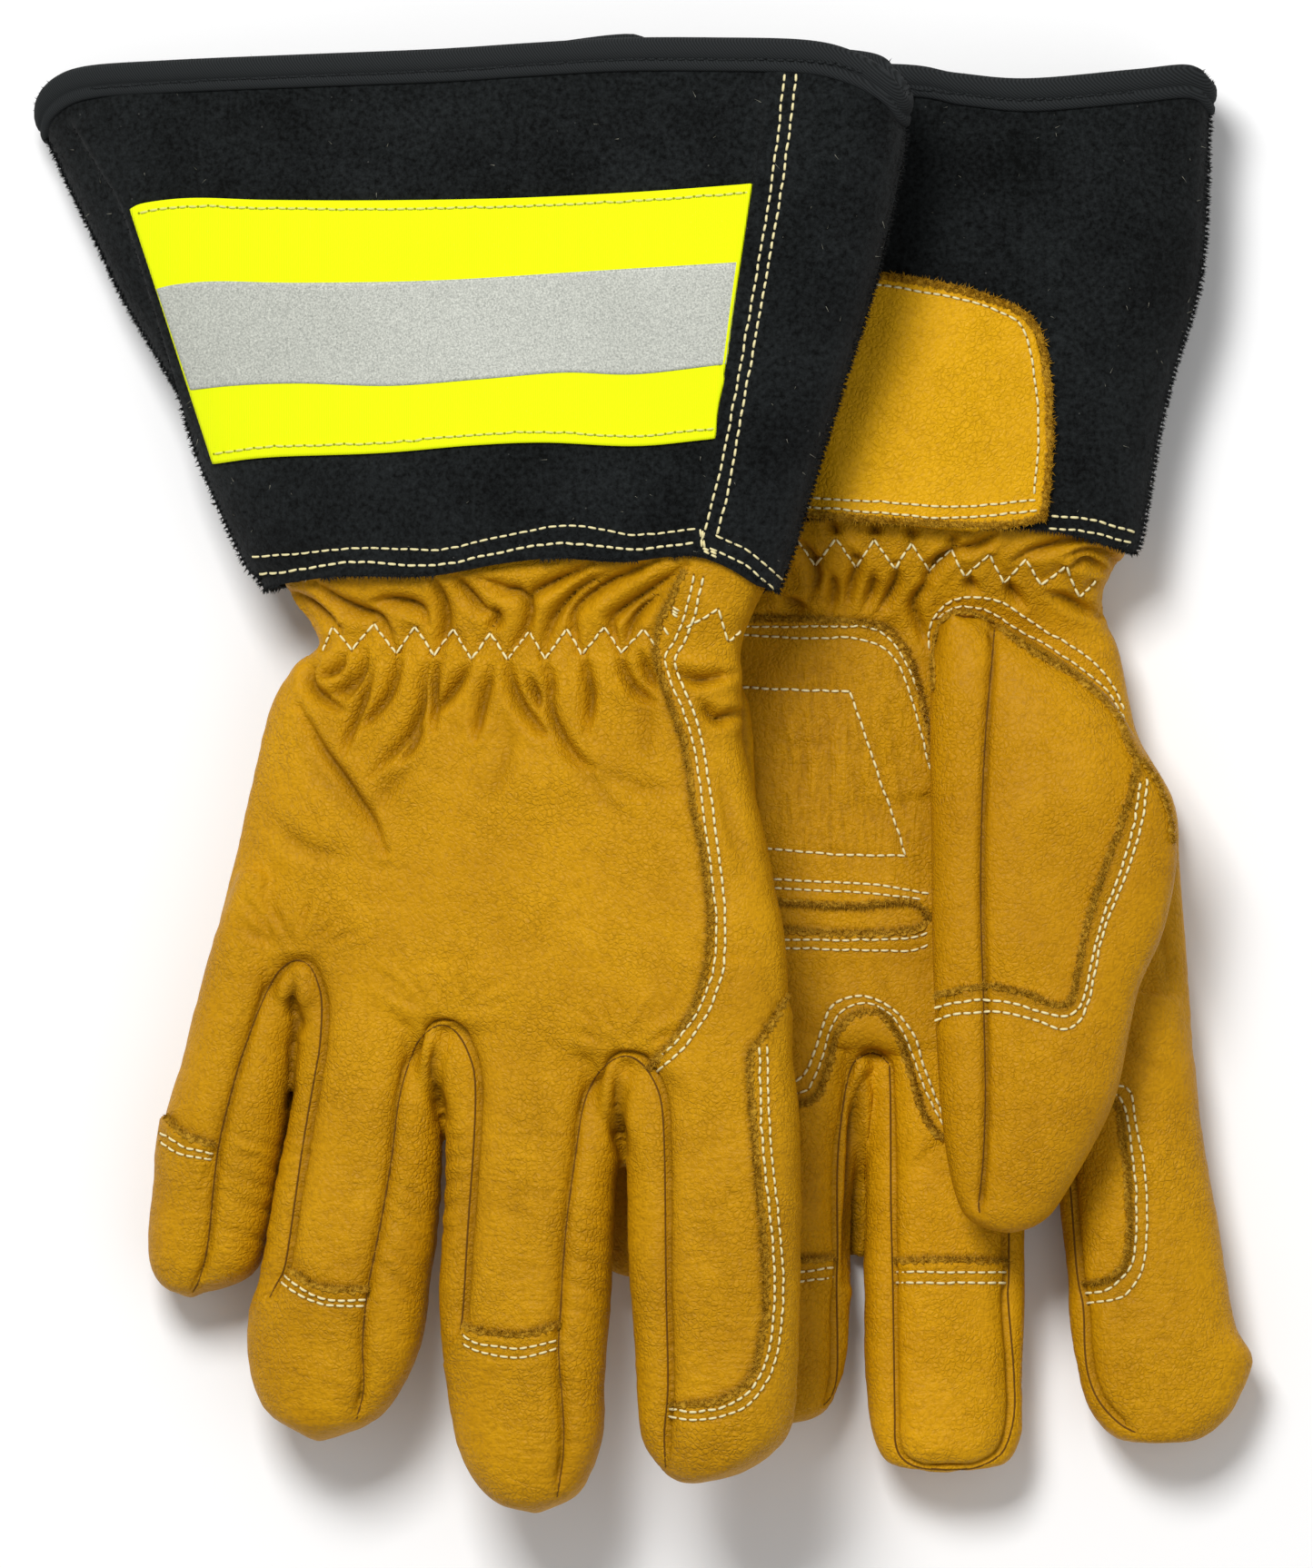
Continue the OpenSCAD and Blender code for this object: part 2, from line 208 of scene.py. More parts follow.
def onLeft(x, y, h, mid):
    return np.stack([x, y, np.maximum(mid + h, 0.2 * mm)], -1)


def flattened(co):
    # where the right glove lies on the left one, the left one is pressed flatter
    wrist = ease((co[..., 1] - leftLie["wristFrom"]) / leftLie["wristSoft"])
    depth = leftLie["room"] * (1 - wrist) + leftLie["cuffRoom"] * wrist
    tall = leftLie["tall"] * (1 - wrist) + leftLie["cuffTall"] * wrist
    room = rightMid(co[..., 0]) - depth / math.cos(tilt)
    low = np.minimum(1, np.maximum(room, leftLie["least"]) / tall)
    return np.stack([co[..., 0], co[..., 1], co[..., 2] * low], -1)


def heights(t, marks):
    # heights in mm at places along a limb, read between the marked ones
    return np.interp(t, *zip(*marks)) * mm


noSag = [(0, 0), (1, 0)]


def limb(name, spec, place, cols=44):
    # a closed tube between two side lines, with a rounded end where the spec asks for one
    rows = max(12, int(lengthOf(flow(plan(spec["left"]))) / (2 * mm)))
    left, right = rail(spec["left"], rows), rail(spec["right"], rows)
    t = np.linspace(0, 1, rows)
    half = heights(t, spec["half"])
    if "roundFrom" in spec:
        over = np.clip((t - spec["roundFrom"]) / (1 - spec["roundFrom"]), 0, 1)
        power = spec.get("roundPower", 2.2)
        half = half * np.maximum(1 - over ** power, 0) ** (1 / power)
    sag = heights(t, spec.get("sag", noSag))
    cx, sz = superellipse(np.linspace(0, 2 * math.pi, cols + 1), spec.get("square", 2.5))
    mid = (left + right)[:, None, :] / 2
    reach = (right - left)[:, None, :] / 2
    flat = mid + reach * cx[None, :, None]
    h = half[:, None] * sz[None, :] + sag[:, None]
    return gridPiece(name, place(flat[..., 0], flat[..., 1], h), joined=True, filled=True)


def skin(name, limbs, voxel, smooth):
    # one smooth surface over several limbs
    obj = joinAll(name, limbs)
    apply(obj, "REMESH", mode="VOXEL", voxel_size=voxel, use_smooth_shade=True)
    apply(obj, "SMOOTH", factor=0.5, iterations=smooth)
    only(obj)
    bpy.ops.object.shade_smooth()
    print(name, len(obj.data.vertices), "points")
    return obj


# The right glove's hand and fingers

rightHand = {
    "left": [(314, 560), (310, 620), (326, 665), (350, 695), (350, 714), (334, 726), (314, 745), (298, 785),
             (283, 850), (265, 930), (240, 1030), (230, 1094)],
    "right": [(838, 560), (842, 620), (832, 665), (815, 705), (814, 760), (814, 820), (826, 880),
              (850, 980), (866, 1080), (873, 1215)],
    "half": [(0, 13), (0.12, 12.4), (0.2, 10), (0.25, 9), (0.32, 10), (0.5, 10.8), (0.85, 10.3), (1, 9.6)],
    "square": 3.0, "roundFrom": 0.94, "roundPower": 3,
}
rightFingers = {
    "little": {
        "left": [(268, 960), (240, 1030), (215, 1110), (200, 1170), (180, 1230), (165, 1300), (157, 1375),
                 (172, 1417), (205, 1432)],
        "right": [(315, 960), (322, 1060), (325, 1110), (323, 1170), (312, 1225), (302, 1275), (287, 1354),
                  (270, 1402), (205, 1432)]},
    "ring": {
        "left": [(331, 980), (330, 1070), (331, 1131), (321, 1223), (312, 1275), (297, 1354), (284, 1410),
                 (272, 1450), (272, 1505), (290, 1556), (345, 1588)],
        "right": [(480, 1000), (480, 1110), (477, 1171), (483, 1233), (483, 1301), (474, 1375), (466, 1410),
                  (461, 1455), (447, 1505), (410, 1562), (345, 1588)]},
    "middle": {
        "left": [(487, 1020), (487, 1120), (484, 1171), (490, 1233), (491, 1301), (488, 1375), (486, 1415),
                 (487, 1460), (492, 1532), (505, 1600), (540, 1650), (585, 1666)],
        "right": [(680, 1040), (680, 1150), (677, 1194), (676, 1234), (681, 1268), (676, 1305), (670, 1370),
                  (667, 1410), (663, 1460), (660, 1530), (656, 1585), (632, 1642), (585, 1666)]},
    "index": {
        "left": [(687, 1050), (687, 1150), (684, 1194), (683, 1234), (689, 1268), (690, 1302), (692, 1353),
                 (696, 1410), (699, 1488), (702, 1560), (712, 1600), (748, 1632), (800, 1624)],
        "right": [(860, 1060), (867, 1120), (873, 1200), (875, 1260), (875, 1353), (873, 1454), (870, 1530),
                  (862, 1574), (836, 1604), (800, 1624)]},
}
fingerForm = {"half": [(0, 9.6), (0.35, 10), (0.8, 9.6), (1, 9)], "square": 2.35, "roundFrom": 0.8,
              "sag": [(0, 0), (0.5, -0.8), (1, -3.5)]}
# the side wall of a finger reaches a little under its neighbour, so that no floor shows between them
highWeb = {"half": [(0, 9.6), (0.3, 9), (0.6, 7.4), (0.8, 4), (1, 2)],
           "sag": [(0, 0), (0.3, -0.6), (0.6, -2.4), (0.8, -5.5), (1, -7.2)]}
rightWebs = [
    {"left": [(300, 1060), (298, 1130), (289, 1250)], "right": [(334, 1060), (336, 1130), (325, 1245)]},
    {"left": [(452, 1110), (453, 1180), (456, 1255)], "right": [(502, 1110), (500, 1171), (498, 1255)],
     **highWeb},
    {"left": [(648, 1140), (650, 1200), (655, 1285)], "right": [(706, 1140), (702, 1194), (696, 1285)],
     **highWeb},
]
webForm = {"half": [(0, 9), (0.2, 8), (0.4, 6.5), (0.65, 3), (1, 2)], "square": 2.2,
           "sag": [(0, -0.4), (0.2, -1), (0.4, -2.6), (0.65, -6), (1, -7.2)]}
detail = {"voxel": 0.65 * mm, "smooth": 6}

rightSkin = skin("rightHandSkin", [limb("hand", rightHand, onRight)]
                 + [limb(f, {**fingerForm, **edges}, onRight) for f, edges in rightFingers.items()]
                 + [limb("web", {**webForm, **edges}, onRight) for edges in rightWebs],
                 detail["voxel"], detail["smooth"])

# The left glove's hand and fingers, palm up

leftHand = {
    "left": [(748, 540), (752, 600), (762, 650), (770, 690), (758, 730), (730, 800), (690, 900),
             (655, 1010), (637, 1114)],
    "right": [(1232, 540), (1240, 602), (1224, 624), (1214, 648), (1209, 674), (1219, 694), (1232, 722),
              (1240, 760), (1256, 815), (1291, 880), (1301, 950), (1310, 1060), (1318, 1219)],
    "half": [(0, 12.6), (0.12, 12), (0.2, 9.8), (0.25, 9), (0.32, 9.6), (0.5, 10.2), (1, 10)],
    "sag": [(0, 7.2), (0.1, 6.4), (0.25, 0.6), (0.32, 0), (1, 0)],
    "square": 3.0, "roundFrom": 0.95, "roundPower": 3,
}
leftFingers = {
    "little": {
        "left": [(655, 1000), (640, 1120), (638, 1220), (645, 1300), (652, 1370), (668, 1400), (705, 1412)],
        "right": [(768, 1020), (766, 1130), (764, 1250), (757, 1330), (750, 1375), (735, 1404), (705, 1412)]},
    "ring": {
        "left": [(785, 1040), (781, 1180), (776, 1300), (772, 1400), (775, 1480), (790, 1540), (850, 1570)],
        "right": [(950, 1060), (950, 1180), (946, 1270), (941, 1340), (939, 1380), (938, 1440), (936, 1490),
                  (930, 1524), (916, 1550), (890, 1564), (850, 1570)]},
    "middle": {
        "left": [(958, 1060), (958, 1180), (957, 1300), (953, 1400), (953, 1500), (962, 1580), (983, 1616),
                 (1043, 1630)],
        "right": [(1136, 1070), (1134, 1200), (1132, 1310), (1132, 1400), (1132, 1500), (1131, 1560),
                  (1126, 1590), (1106, 1617), (1043, 1630)]},
    "index": {
        "left": [(1156, 1080), (1158, 1200), (1163, 1323), (1172, 1408), (1176, 1469), (1183, 1518),
                 (1198, 1557), (1228, 1588), (1272, 1593)],
        "right": [(1308, 1100), (1321, 1200), (1341, 1344), (1358, 1440), (1367, 1468), (1382, 1490),
                  (1382, 1508), (1370, 1537), (1355, 1562), (1322, 1588), (1272, 1593)]},
}
leftFingerForm = {"half": [(0, 9.9), (0.35, 9.6), (0.8, 9), (1, 8.5)], "square": 2.35, "roundFrom": 0.8,
                  "sag": [(0, -0.1), (0.5, 0), (1, 2.5)]}


def palmUp(x, y, h):
    return onLeft(x, y, h, leftLie["handMid"])


leftWebs = [{"left": [(925, 1150), (925, 1300), (915, 1390)],
             "right": [(962, 1150), (962, 1250), (958, 1380)]}]
leftSkin = skin("leftHandSkin", [limb("hand", leftHand, palmUp)]
                + [limb(f, {**leftFingerForm, **edges}, palmUp) for f, edges in leftFingers.items()]
                + [limb("web", {**webForm, **edges}, palmUp) for edges in leftWebs],
                detail["voxel"], detail["smooth"])
moveTo(leftSkin, flattened(coords(leftSkin)))

# The left thumb lies on its palm

leftThumb = {
    "left": [(1046, 672), (1030, 694), (1024, 760), (1024, 900), (1025, 1050), (1029, 1130), (1038, 1240),
             (1046, 1300), (1058, 1336), (1080, 1352), (1110, 1359)],
    "right": [(1046, 672), (1095, 682), (1159, 720), (1216, 764), (1246, 806), (1268, 842), (1287, 880),
              (1295, 922), (1293, 965), (1280, 1030), (1257, 1085), (1243, 1140), (1220, 1222),
              (1168, 1322), (1140, 1350), (1110, 1359)],
    "half": [(0, 6), (0.12, 8), (0.3, 9), (0.75, 8.4), (1, 7)], "square": 2.5, "roundFrom": 0.82,
    "sag": [(0, 13), (0.15, 15.5), (0.35, 19), (0.8, 20), (1, 19.5)],
}
thumbSkin = skin("leftThumbSkin", [limb("thumb", leftThumb, palmUp)], detail["voxel"], detail["smooth"])

rightThumb = {
    "left": [(720, 690), (690, 720), (672, 800), (668, 950), (676, 1100), (700, 1230), (740, 1310),
             (770, 1320)],
    "right": [(720, 690), (760, 700), (798, 770), (806, 850), (814, 1000), (822, 1130), (815, 1230),
              (795, 1305), (770, 1320)],
    "half": [(0, 3), (0.15, 3.8), (0.8, 3.8), (1, 3)], "square": 2.6, "roundFrom": 0.85,
    "sag": [(0, -13.5), (0.15, -16.4), (1, -16.4)],
}
rightThumbSkin = skin("rightThumbSkin", [limb("tuckedThumb", rightThumb, onRight)], 1.2 * mm, 4)


# Sculpting: each crease, seam and laid-on piece moves the points of a skin along their normals


def lattice(xy, size, seed):
    # smooth noise between -1 and 1, with lumps of the given size
    cells = np.random.default_rng(seed).uniform(-1, 1, (257, 257))
    at = xy / size
    low = np.floor(at).astype(int)
    mix = ease(at - low)
    i, j = low[:, 0] + 128, low[:, 1] + 128
    near = cells[i, j] * (1 - mix[:, 0]) + cells[i + 1, j] * mix[:, 0]
    far = cells[i, j + 1] * (1 - mix[:, 0]) + cells[i + 1, j + 1] * mix[:, 0]
    return near * (1 - mix[:, 1]) + far * mix[:, 1]


# the first value is painted shade in creases and under edges; the other two mark wrinkle lines in the grain,
# whose valleys get painted shade
painted = ("fold", "wornAndShade", "ribsAndShade")  # values that the leather's material reads from each point


def clay(obj):
    co, n = coords(obj), normals(obj)
    work = {"obj": obj, "co": co, "n": n, "xy": co[:, :2]}
    for face, sign in (("top", 1), ("under", -1)):
        work[face] = ease((n[:, 2] * sign + 0.25) / 0.35)
    for key in ("shift",) + painted:
        work[key] = np.zeros(len(co))
    return work


def along(work, line, reach):
    # the points near a plan line: distance from it, side of it and place along it
    xy = work["xy"]
    near = np.nonzero(np.all((xy > line.min(0) - reach) & (xy < line.max(0) + reach), axis=1))[0]
    close = np.full(len(near), np.inf)
    at = np.zeros(len(near), int)
    for start in range(0, len(line), 48):
        part = line[start:start + 48]
        d = (xy[near, 0, None] - part[None, :, 0]) ** 2 + (xy[near, 1, None] - part[None, :, 1]) ** 2
        best = d.argmin(1)
        here = d[np.arange(len(near)), best]
        closer = here < close
        close[closer], at[closer] = here[closer], start + best[closer]
    keep = close < reach * reach
    near, at = near[keep], at[keep]
    run = unit(np.gradient(line, axis=0)[at])
    off = xy[near] - line[at]
    return near, np.sqrt(close[keep]), run[:, 0] * off[:, 1] - run[:, 1] * off[:, 0], at / (len(line) - 1)


# painted shade: how far the leather's colour is pulled towards its dark crease colour at these points
def darken(work, near, dark):
    work["fold"][near] = np.maximum(work["fold"][near], dark)


def ending(place):
    # 1 along a line, and 0 at its very ends
    return ease(np.minimum(place, 1 - place) / 0.04)


def swelling(place, least):
    # greatest in the middle of a line, fading to both ends
    return np.sqrt(np.sin(np.clip(place, least, 1 - least) * math.pi))


# a sunk line along a route, darkened with painted shade
def groove(work, pixels, depth, width, dark=0.0, face="top", taper=False):
    near, dist, _, place = along(work, path(pixels), 3 * width * mm)
    fade = swelling(place, 0.02) if taper else ending(place)
    dip = np.exp(-(dist / (width * mm)) ** 2) * work[face][near] * fade
    work["shift"][near] -= depth * mm * dip
    darken(work, near, dark * dip)


def crease(work, pixels, depth, width, dark=0.6, face="top"):
    # a pinched fold: a sharp valley with a puff on each side, fading out at both ends, and painted shade in
    # the valley
    near, dist, _, place = along(work, path(pixels), 5 * width * mm)
    fade = swelling(place, 0.03) * work[face][near]
    d = dist / (width * mm)
    valley = np.exp(-d / 0.75) * fade
    puff = np.exp(-((d - 2.1) / 1.2) ** 2) * fade
    work["shift"][near] += depth * mm * (0.4 * puff - valley)
    darken(work, near, dark * np.exp(-(d / 0.9) ** 2) * fade)


def pleats(work, lines, depth, width, dark=0.8, face="top"):
    # gathered leather: rounded puffs that meet in sharp valleys, each valley fading out at its ends, with
    # painted shade in the valleys
    valley = np.zeros(len(work["co"]))
    for pixels in lines:
        near, dist, _, place = along(work, path(pixels), 7 * width * mm)
        fade = np.sin(np.clip(place, 0.05, 0.95) * math.pi) ** 0.4
        valley[near] = np.maximum(valley[near], np.exp(-dist / (width * mm)) * fade)
    valley *= work[face]
    work["shift"] -= depth * mm * (valley - 0.3 * ease(valley * 4))
    work["fold"] = np.maximum(work["fold"], dark * ease((valley - 0.3) / 0.7))


def laidOn(work, pixels, high, inner, reach=16, soft=0.45, face="top"):
    # a piece sewn on top: the inner side of its edge stands high and sinks back over its reach, and painted
    # shade darkens the leather just below its edge
    near, _, side, place = along(work, path(pixels), reach * mm)
    inside = side * inner
    rise = ease((inside / (soft * mm) + 1) / 2) * (1 - ease(inside / (reach * mm)))
    ends = ending(place)
    work["shift"][near] += high * mm * rise * work[face][near] * ends
    under = np.exp(-((inside / mm + 0.8) / 0.8) ** 2) * (inside < 0.4 * mm) * work[face][near] * ends
    darken(work, near, 0.4 * under)


def swell(work, size, high, seed, stretch=(1, 1), where=None):
    # soft lumps of one size over the whole skin, or over a part of it
    lump = lattice(work["xy"] * np.array(stretch), size * mm, seed) * high * mm
    work["shift"] += lump if where is None else lump * where


def between(work, top, bottom, soft):
    # 1 between two heights of the photograph, fading out over the soft length
    y = photo["midY"] - work["xy"][:, 1] / photo["pixel"]
    return ease((y - top + soft) / soft) * ease((bottom + soft - y) / soft)


def press(work):
    co = work["co"] + work["n"] * work["shift"][:, None]
    co[:, 2] = np.maximum(co[:, 2], 0.1 * mm)
    moveTo(work["obj"], co)
    for key in painted:
        paint(work["obj"], key, work[key])
    print(work["obj"].name, "sculpted")


# Routes over the right glove, in pixels of the photograph

seams = {
    "littleRing": [(206, 1430), (218, 1411), (228, 1370), (235, 1301), (241, 1257), (253, 1207),
                   (265, 1165), (283, 1116), (300, 1079), (312, 1064), (326, 1057), (340, 1063),
                   (349, 1080), (354, 1105), (352, 1150), (346, 1186), (333, 1262), (318, 1367),
                   (312, 1398), (304, 1414), (293, 1436)],
    "ringMiddle": [(390, 1570), (400, 1530), (399, 1480), (402, 1440), (407, 1406), (421, 1335),
                   (431, 1275), (440, 1207), (456, 1155), (470, 1136), (487, 1128), (503, 1137),
                   (516, 1160), (523, 1190), (522, 1251), (515, 1353), (510, 1437), (507, 1462), (503, 1476)],
    "middleIndex": [(612, 1655), (620, 1600), (620, 1555), (615, 1488), (617, 1444), (623, 1353),
                    (634, 1268), (642, 1218), (655, 1186), (672, 1168), (690, 1162), (706, 1170),
                    (720, 1190), (728, 1215), (731, 1260), (732, 1319), (733, 1420), (735, 1522),
                    (731, 1576), (733, 1622)],
}
littleSlit = [(326, 1120), (322, 1146), (320, 1170), (320, 1193), (316, 1224)]
crotches = [[(322, 1079), (321, 1105), (330, 1129)], [(481, 1152), (477, 1186), (487, 1231)],
            [(681, 1187), (679, 1231), (686, 1267)]]
rightLaid = {
    "thumbSide": {"inner": 1, "reach": 22, "edge": [
        (754, 628), (745, 646), (736, 665), (727, 685), (723, 724), (733, 757), (743, 787), (754, 820),
        (760, 857), (766, 898), (775, 940), (782, 1000), (780, 1050), (768, 1100), (745, 1140), (712, 1178)]},
    "littleTip": {"inner": -1, "reach": 14, "edge": [(181, 1227), (202, 1249), (236, 1261)]},
    "ringTip": {"inner": -1, "reach": 14, "edge": [(317, 1394), (338, 1411), (367, 1419), (405, 1419)]},
    "middleTip": {"inner": -1, "reach": 14, "edge": [(509, 1457), (531, 1466), (581, 1468), (615, 1456)]},
    "indexWrap": {"inner": 1, "reach": 14, "edge": [
        (866, 1095), (840, 1140), (826, 1160), (828, 1218), (835, 1302), (841, 1370), (843, 1437),
        (838, 1474), (831, 1505), (818, 1525), (801, 1535), (777, 1543), (737, 1544)]},
}
rightRows = [
    [(764, 633), (754, 675), (741, 708), (731, 724), (739, 753), (752, 782), (762, 816), (768, 849),
     (775, 900), (783, 960), (788, 1010), (786, 1060), (772, 1105), (745, 1145), (716, 1172)],
    [(774, 636), (764, 678), (752, 709), (742, 726), (749, 751), (762, 780), (772, 814), (778, 848),
     (785, 899), (793, 959), (798, 1010), (796, 1062), (781, 1110), (753, 1152), (722, 1180)],
    [(175, 1247), (206, 1264), (235, 1270)], [(175, 1257), (197, 1270), (234, 1277)],
    [(311, 1403), (333, 1419), (359, 1430), (404, 1431)],
    [(308, 1411), (333, 1427), (364, 1437), (402, 1437)],
    [(509, 1468), (527, 1478), (575, 1483), (613, 1474)],
    [(509, 1478), (531, 1488), (575, 1493), (613, 1483)],
    [(835, 1150), (838, 1251), (848, 1353), (852, 1403), (850, 1454), (841, 1501), (825, 1528), (804, 1544),
     (767, 1552), (735, 1549)],
    [(844, 1150), (847, 1251), (857, 1352), (861, 1403), (859, 1456), (849, 1506), (831, 1536), (807, 1553),
     (768, 1561), (735, 1558)],
]
gathers = [
    [(343, 642), (364, 660), (392, 675), (416, 683), (434, 713)],
    [(410, 665), (432, 663), (460, 671), (471, 689)],
    [(474, 638), (482, 652), (488, 671), (489, 691), (480, 717)],
    [(500, 636), (512, 652), (532, 671), (545, 675)], [(540, 669), (547, 681), (540, 694)],
    [(528, 638), (555, 650), (571, 653), (581, 665), (580, 687), (561, 721)],
    [(651, 620), (611, 642), (587, 655), (582, 675), (586, 693)],
    [(669, 632), (635, 652), (613, 675), (603, 695), (598, 723)],
    [(723, 616), (675, 640), (641, 663), (629, 683), (637, 717)],
    [(755, 624), (711, 655), (685, 673), (671, 687), (682, 717)],
    [(731, 652), (703, 675), (691, 695), (687, 715)], [(313, 652), (339, 671), (372, 693)],
    [(349, 729), (339, 737), (341, 755), (357, 769), (380, 785)],
    [(400, 717), (397, 735), (384, 759), (372, 773)], [(390, 737), (380, 755), (360, 765)],
    [(438, 717), (435, 737), (424, 767), (404, 791), (386, 804)],
    [(474, 721), (466, 747), (462, 779), (447, 811), (426, 835), (410, 852)],
    [(460, 787), (454, 815), (440, 839)], [(518, 727), (511, 741), (494, 765), (478, 781), (472, 795)],
    [(559, 725), (563, 751), (572, 773), (589, 797), (607, 815)],
    [(598, 725), (605, 747), (604, 775), (613, 803), (631, 831), (651, 846)],
    [(641, 721), (645, 743), (648, 771), (645, 805)], [(683, 719), (685, 737), (698, 759), (717, 773)],
    [(329, 779), (352, 823), (380, 862), (410, 906), (424, 938)], [(736, 737), (766, 748), (804, 743)],
    [(770, 773), (788, 791), (815, 784)], [(378, 720), (366, 736), (346, 744)],
    [(408, 730), (396, 773), (384, 805), (378, 828)], [(486, 722), (478, 742), (476, 777), (477, 801)],
    [(541, 738), (530, 780), (524, 812)], [(582, 745), (590, 768), (592, 785)],
    [(705, 720), (712, 740), (722, 758)],
]
crotchTops = [(325, 1050), (487, 1122), (688, 1156)]
wallFolds = {"little": [(252, 1240), (310, 1262)], "ring": [(428, 1290), (474, 1322)],
             "middle": [(634, 1330), (672, 1344)],
             "nextRing": [(326, 1200), (348, 1196)], "nextMiddle": [(492, 1250), (520, 1246)]}
softPulls = [[(607, 815), (651, 858), (683, 898)], [(655, 842), (691, 862), (742, 870)],
             [(460, 835), (424, 874), (408, 898)], [(330, 800), (350, 850), (395, 900), (420, 950)],
             [(560, 800), (556, 840), (540, 880)], [(700, 740), (712, 790), (708, 840)],
             [(790, 840), (800, 900), (822, 960)], [(300, 900), (330, 930), (380, 945)]]
rightZig = [(355, 718), (366, 690), (388, 716), (411, 686), (436, 720), (457, 688), (478, 722), (500, 692),
            (519, 727), (540, 696), (560, 727), (583, 695), (600, 727), (623, 692), (641, 722), (665, 690),
            (684, 720), (709, 692), (722, 712)]
rightZagEnd = [(754, 692), (790, 671), (801, 707), (815, 694)]


def pucker(work, peaks, up, down, seed, face):
    # a gathering stitch draws the leather in: creases run down from its low points and up from its high ones
    dice = np.random.default_rng(seed)
    for (x, y), (nextX, nextY) in zip(peaks[:-1], peaks[1:]):
        groove(work, [(x, y), (nextX, nextY)], **cuts["pucker"], face=face)
        lean = dice.uniform(-0.25, 0.25)
        if y > nextY:
            far = down * dice.uniform(0.6, 1.3)
            line = [(x, y - 8), (x + lean * far * 0.4, y + far * 0.5), (x + lean * far, y + far)]
        else:
            far = up * dice.uniform(0.7, 1.3)
            line = [(x, y + 8), (x + lean * far, y - far * 0.5), (x + lean * far * 2.5, y - far)]
        crease(work, line, dice.uniform(1.6, 2.4), dice.uniform(1.3, 1.8), 0.6, face)


def fan(work, top, count, reach):
    # fine wrinkles that run up and out from where two fingers part
    for angle in np.linspace(0.12, 0.88, count) * math.pi:
        angle += chance.uniform(-0.08, 0.08)
        far = reach * chance.uniform(0.5, 1) * (0.6 + 0.4 * abs(math.cos(angle)))
        bow = chance.uniform(-0.12, 0.12)
        line = [(top[0] + far * s * math.cos(angle + bow * s), top[1] - far * s * math.sin(angle + bow * s))
                for s in (0.2, 0.5, 0.75, 1)]
        crease(work, line, chance.uniform(0.5, 0.9), chance.uniform(0.7, 1), 0.12)


def knuckleFolds(work, spots):
    # short cross creases where a finger bends
    for x, y, wide in spots:
        for k in range(3):
            lean = chance.uniform(-6, 6)
            y0 = y + (k - 1) * 17 + chance.uniform(-4, 4)
            reach = wide * chance.uniform(0.6, 1)
            line = [(x - reach, y0 - lean), (x, y0 + 5), (x + reach, y0 + lean)]
            groove(work, line, **cuts["knuckle"])


# Routes over the left glove's palm, in pixels of the photograph

leftSeams = {
    "ringMiddle": [(900, 1553), (914, 1540), (921, 1518), (922, 1480), (921, 1416), (922, 1380),
                   (922, 1284), (928, 1219), (937, 1176), (948, 1164), (961, 1160), (975, 1168),
                   (980, 1190), (981, 1330), (983, 1416), (985, 1551), (986, 1590), (995, 1608),
                   (1014, 1617), (1045, 1619), (1073, 1617)],
    "middleIndex": [(1017, 1617), (1045, 1619), (1073, 1617), (1097, 1606), (1109, 1590), (1117, 1555),
                    (1116, 1505), (1110, 1430), (1111, 1400), (1112, 1280), (1120, 1210), (1142, 1170),
                    (1166, 1200), (1178, 1300), (1186, 1400), (1193, 1440), (1195, 1490), (1200, 1520),
                    (1212, 1546), (1234, 1569), (1258, 1581)],
    "littleRing": [(740, 1390), (748, 1290), (756, 1180), (772, 1120), (790, 1160), (796, 1300), (790, 1480)],
}
leftLaid = {
    "palmPatch": {"inner": 1, "reach": 20, "edge": [
        (1032, 880), (1020, 800), (1004, 735), (985, 700), (960, 686), (900, 682), (800, 680)]},
    "barTop": {"inner": 1, "reach": 8, "edge": [
        (800, 988), (930, 996), (995, 992), (1016, 1000), (1024, 1012)]},
    "barLow": {"inner": -1, "reach": 8, "edge": [
        (800, 1022), (940, 1028), (1000, 1025), (1018, 1017), (1024, 1008)]},
    "lowPatch": {"inner": -1, "reach": 14, "edge": [
        (868, 1219), (897, 1211), (910, 1183), (922, 1139), (939, 1119), (959, 1114), (975, 1122),
        (991, 1147), (1003, 1184), (1019, 1233), (1038, 1254)]},
    "indexPatch": {"inner": -1, "reach": 12, "edge": [
        (1212, 1203), (1231, 1223), (1235, 1255), (1240, 1291), (1242, 1344), (1240, 1380), (1231, 1400),
        (1214, 1410), (1190, 1414)]},
    "middleTip": {"inner": -1, "reach": 12, "edge": [(984, 1389), (1050, 1388), (1111, 1390)]},
    "ringTip": {"inner": -1, "reach": 12, "edge": [(800, 1391), (874, 1389), (921, 1385)]},
}
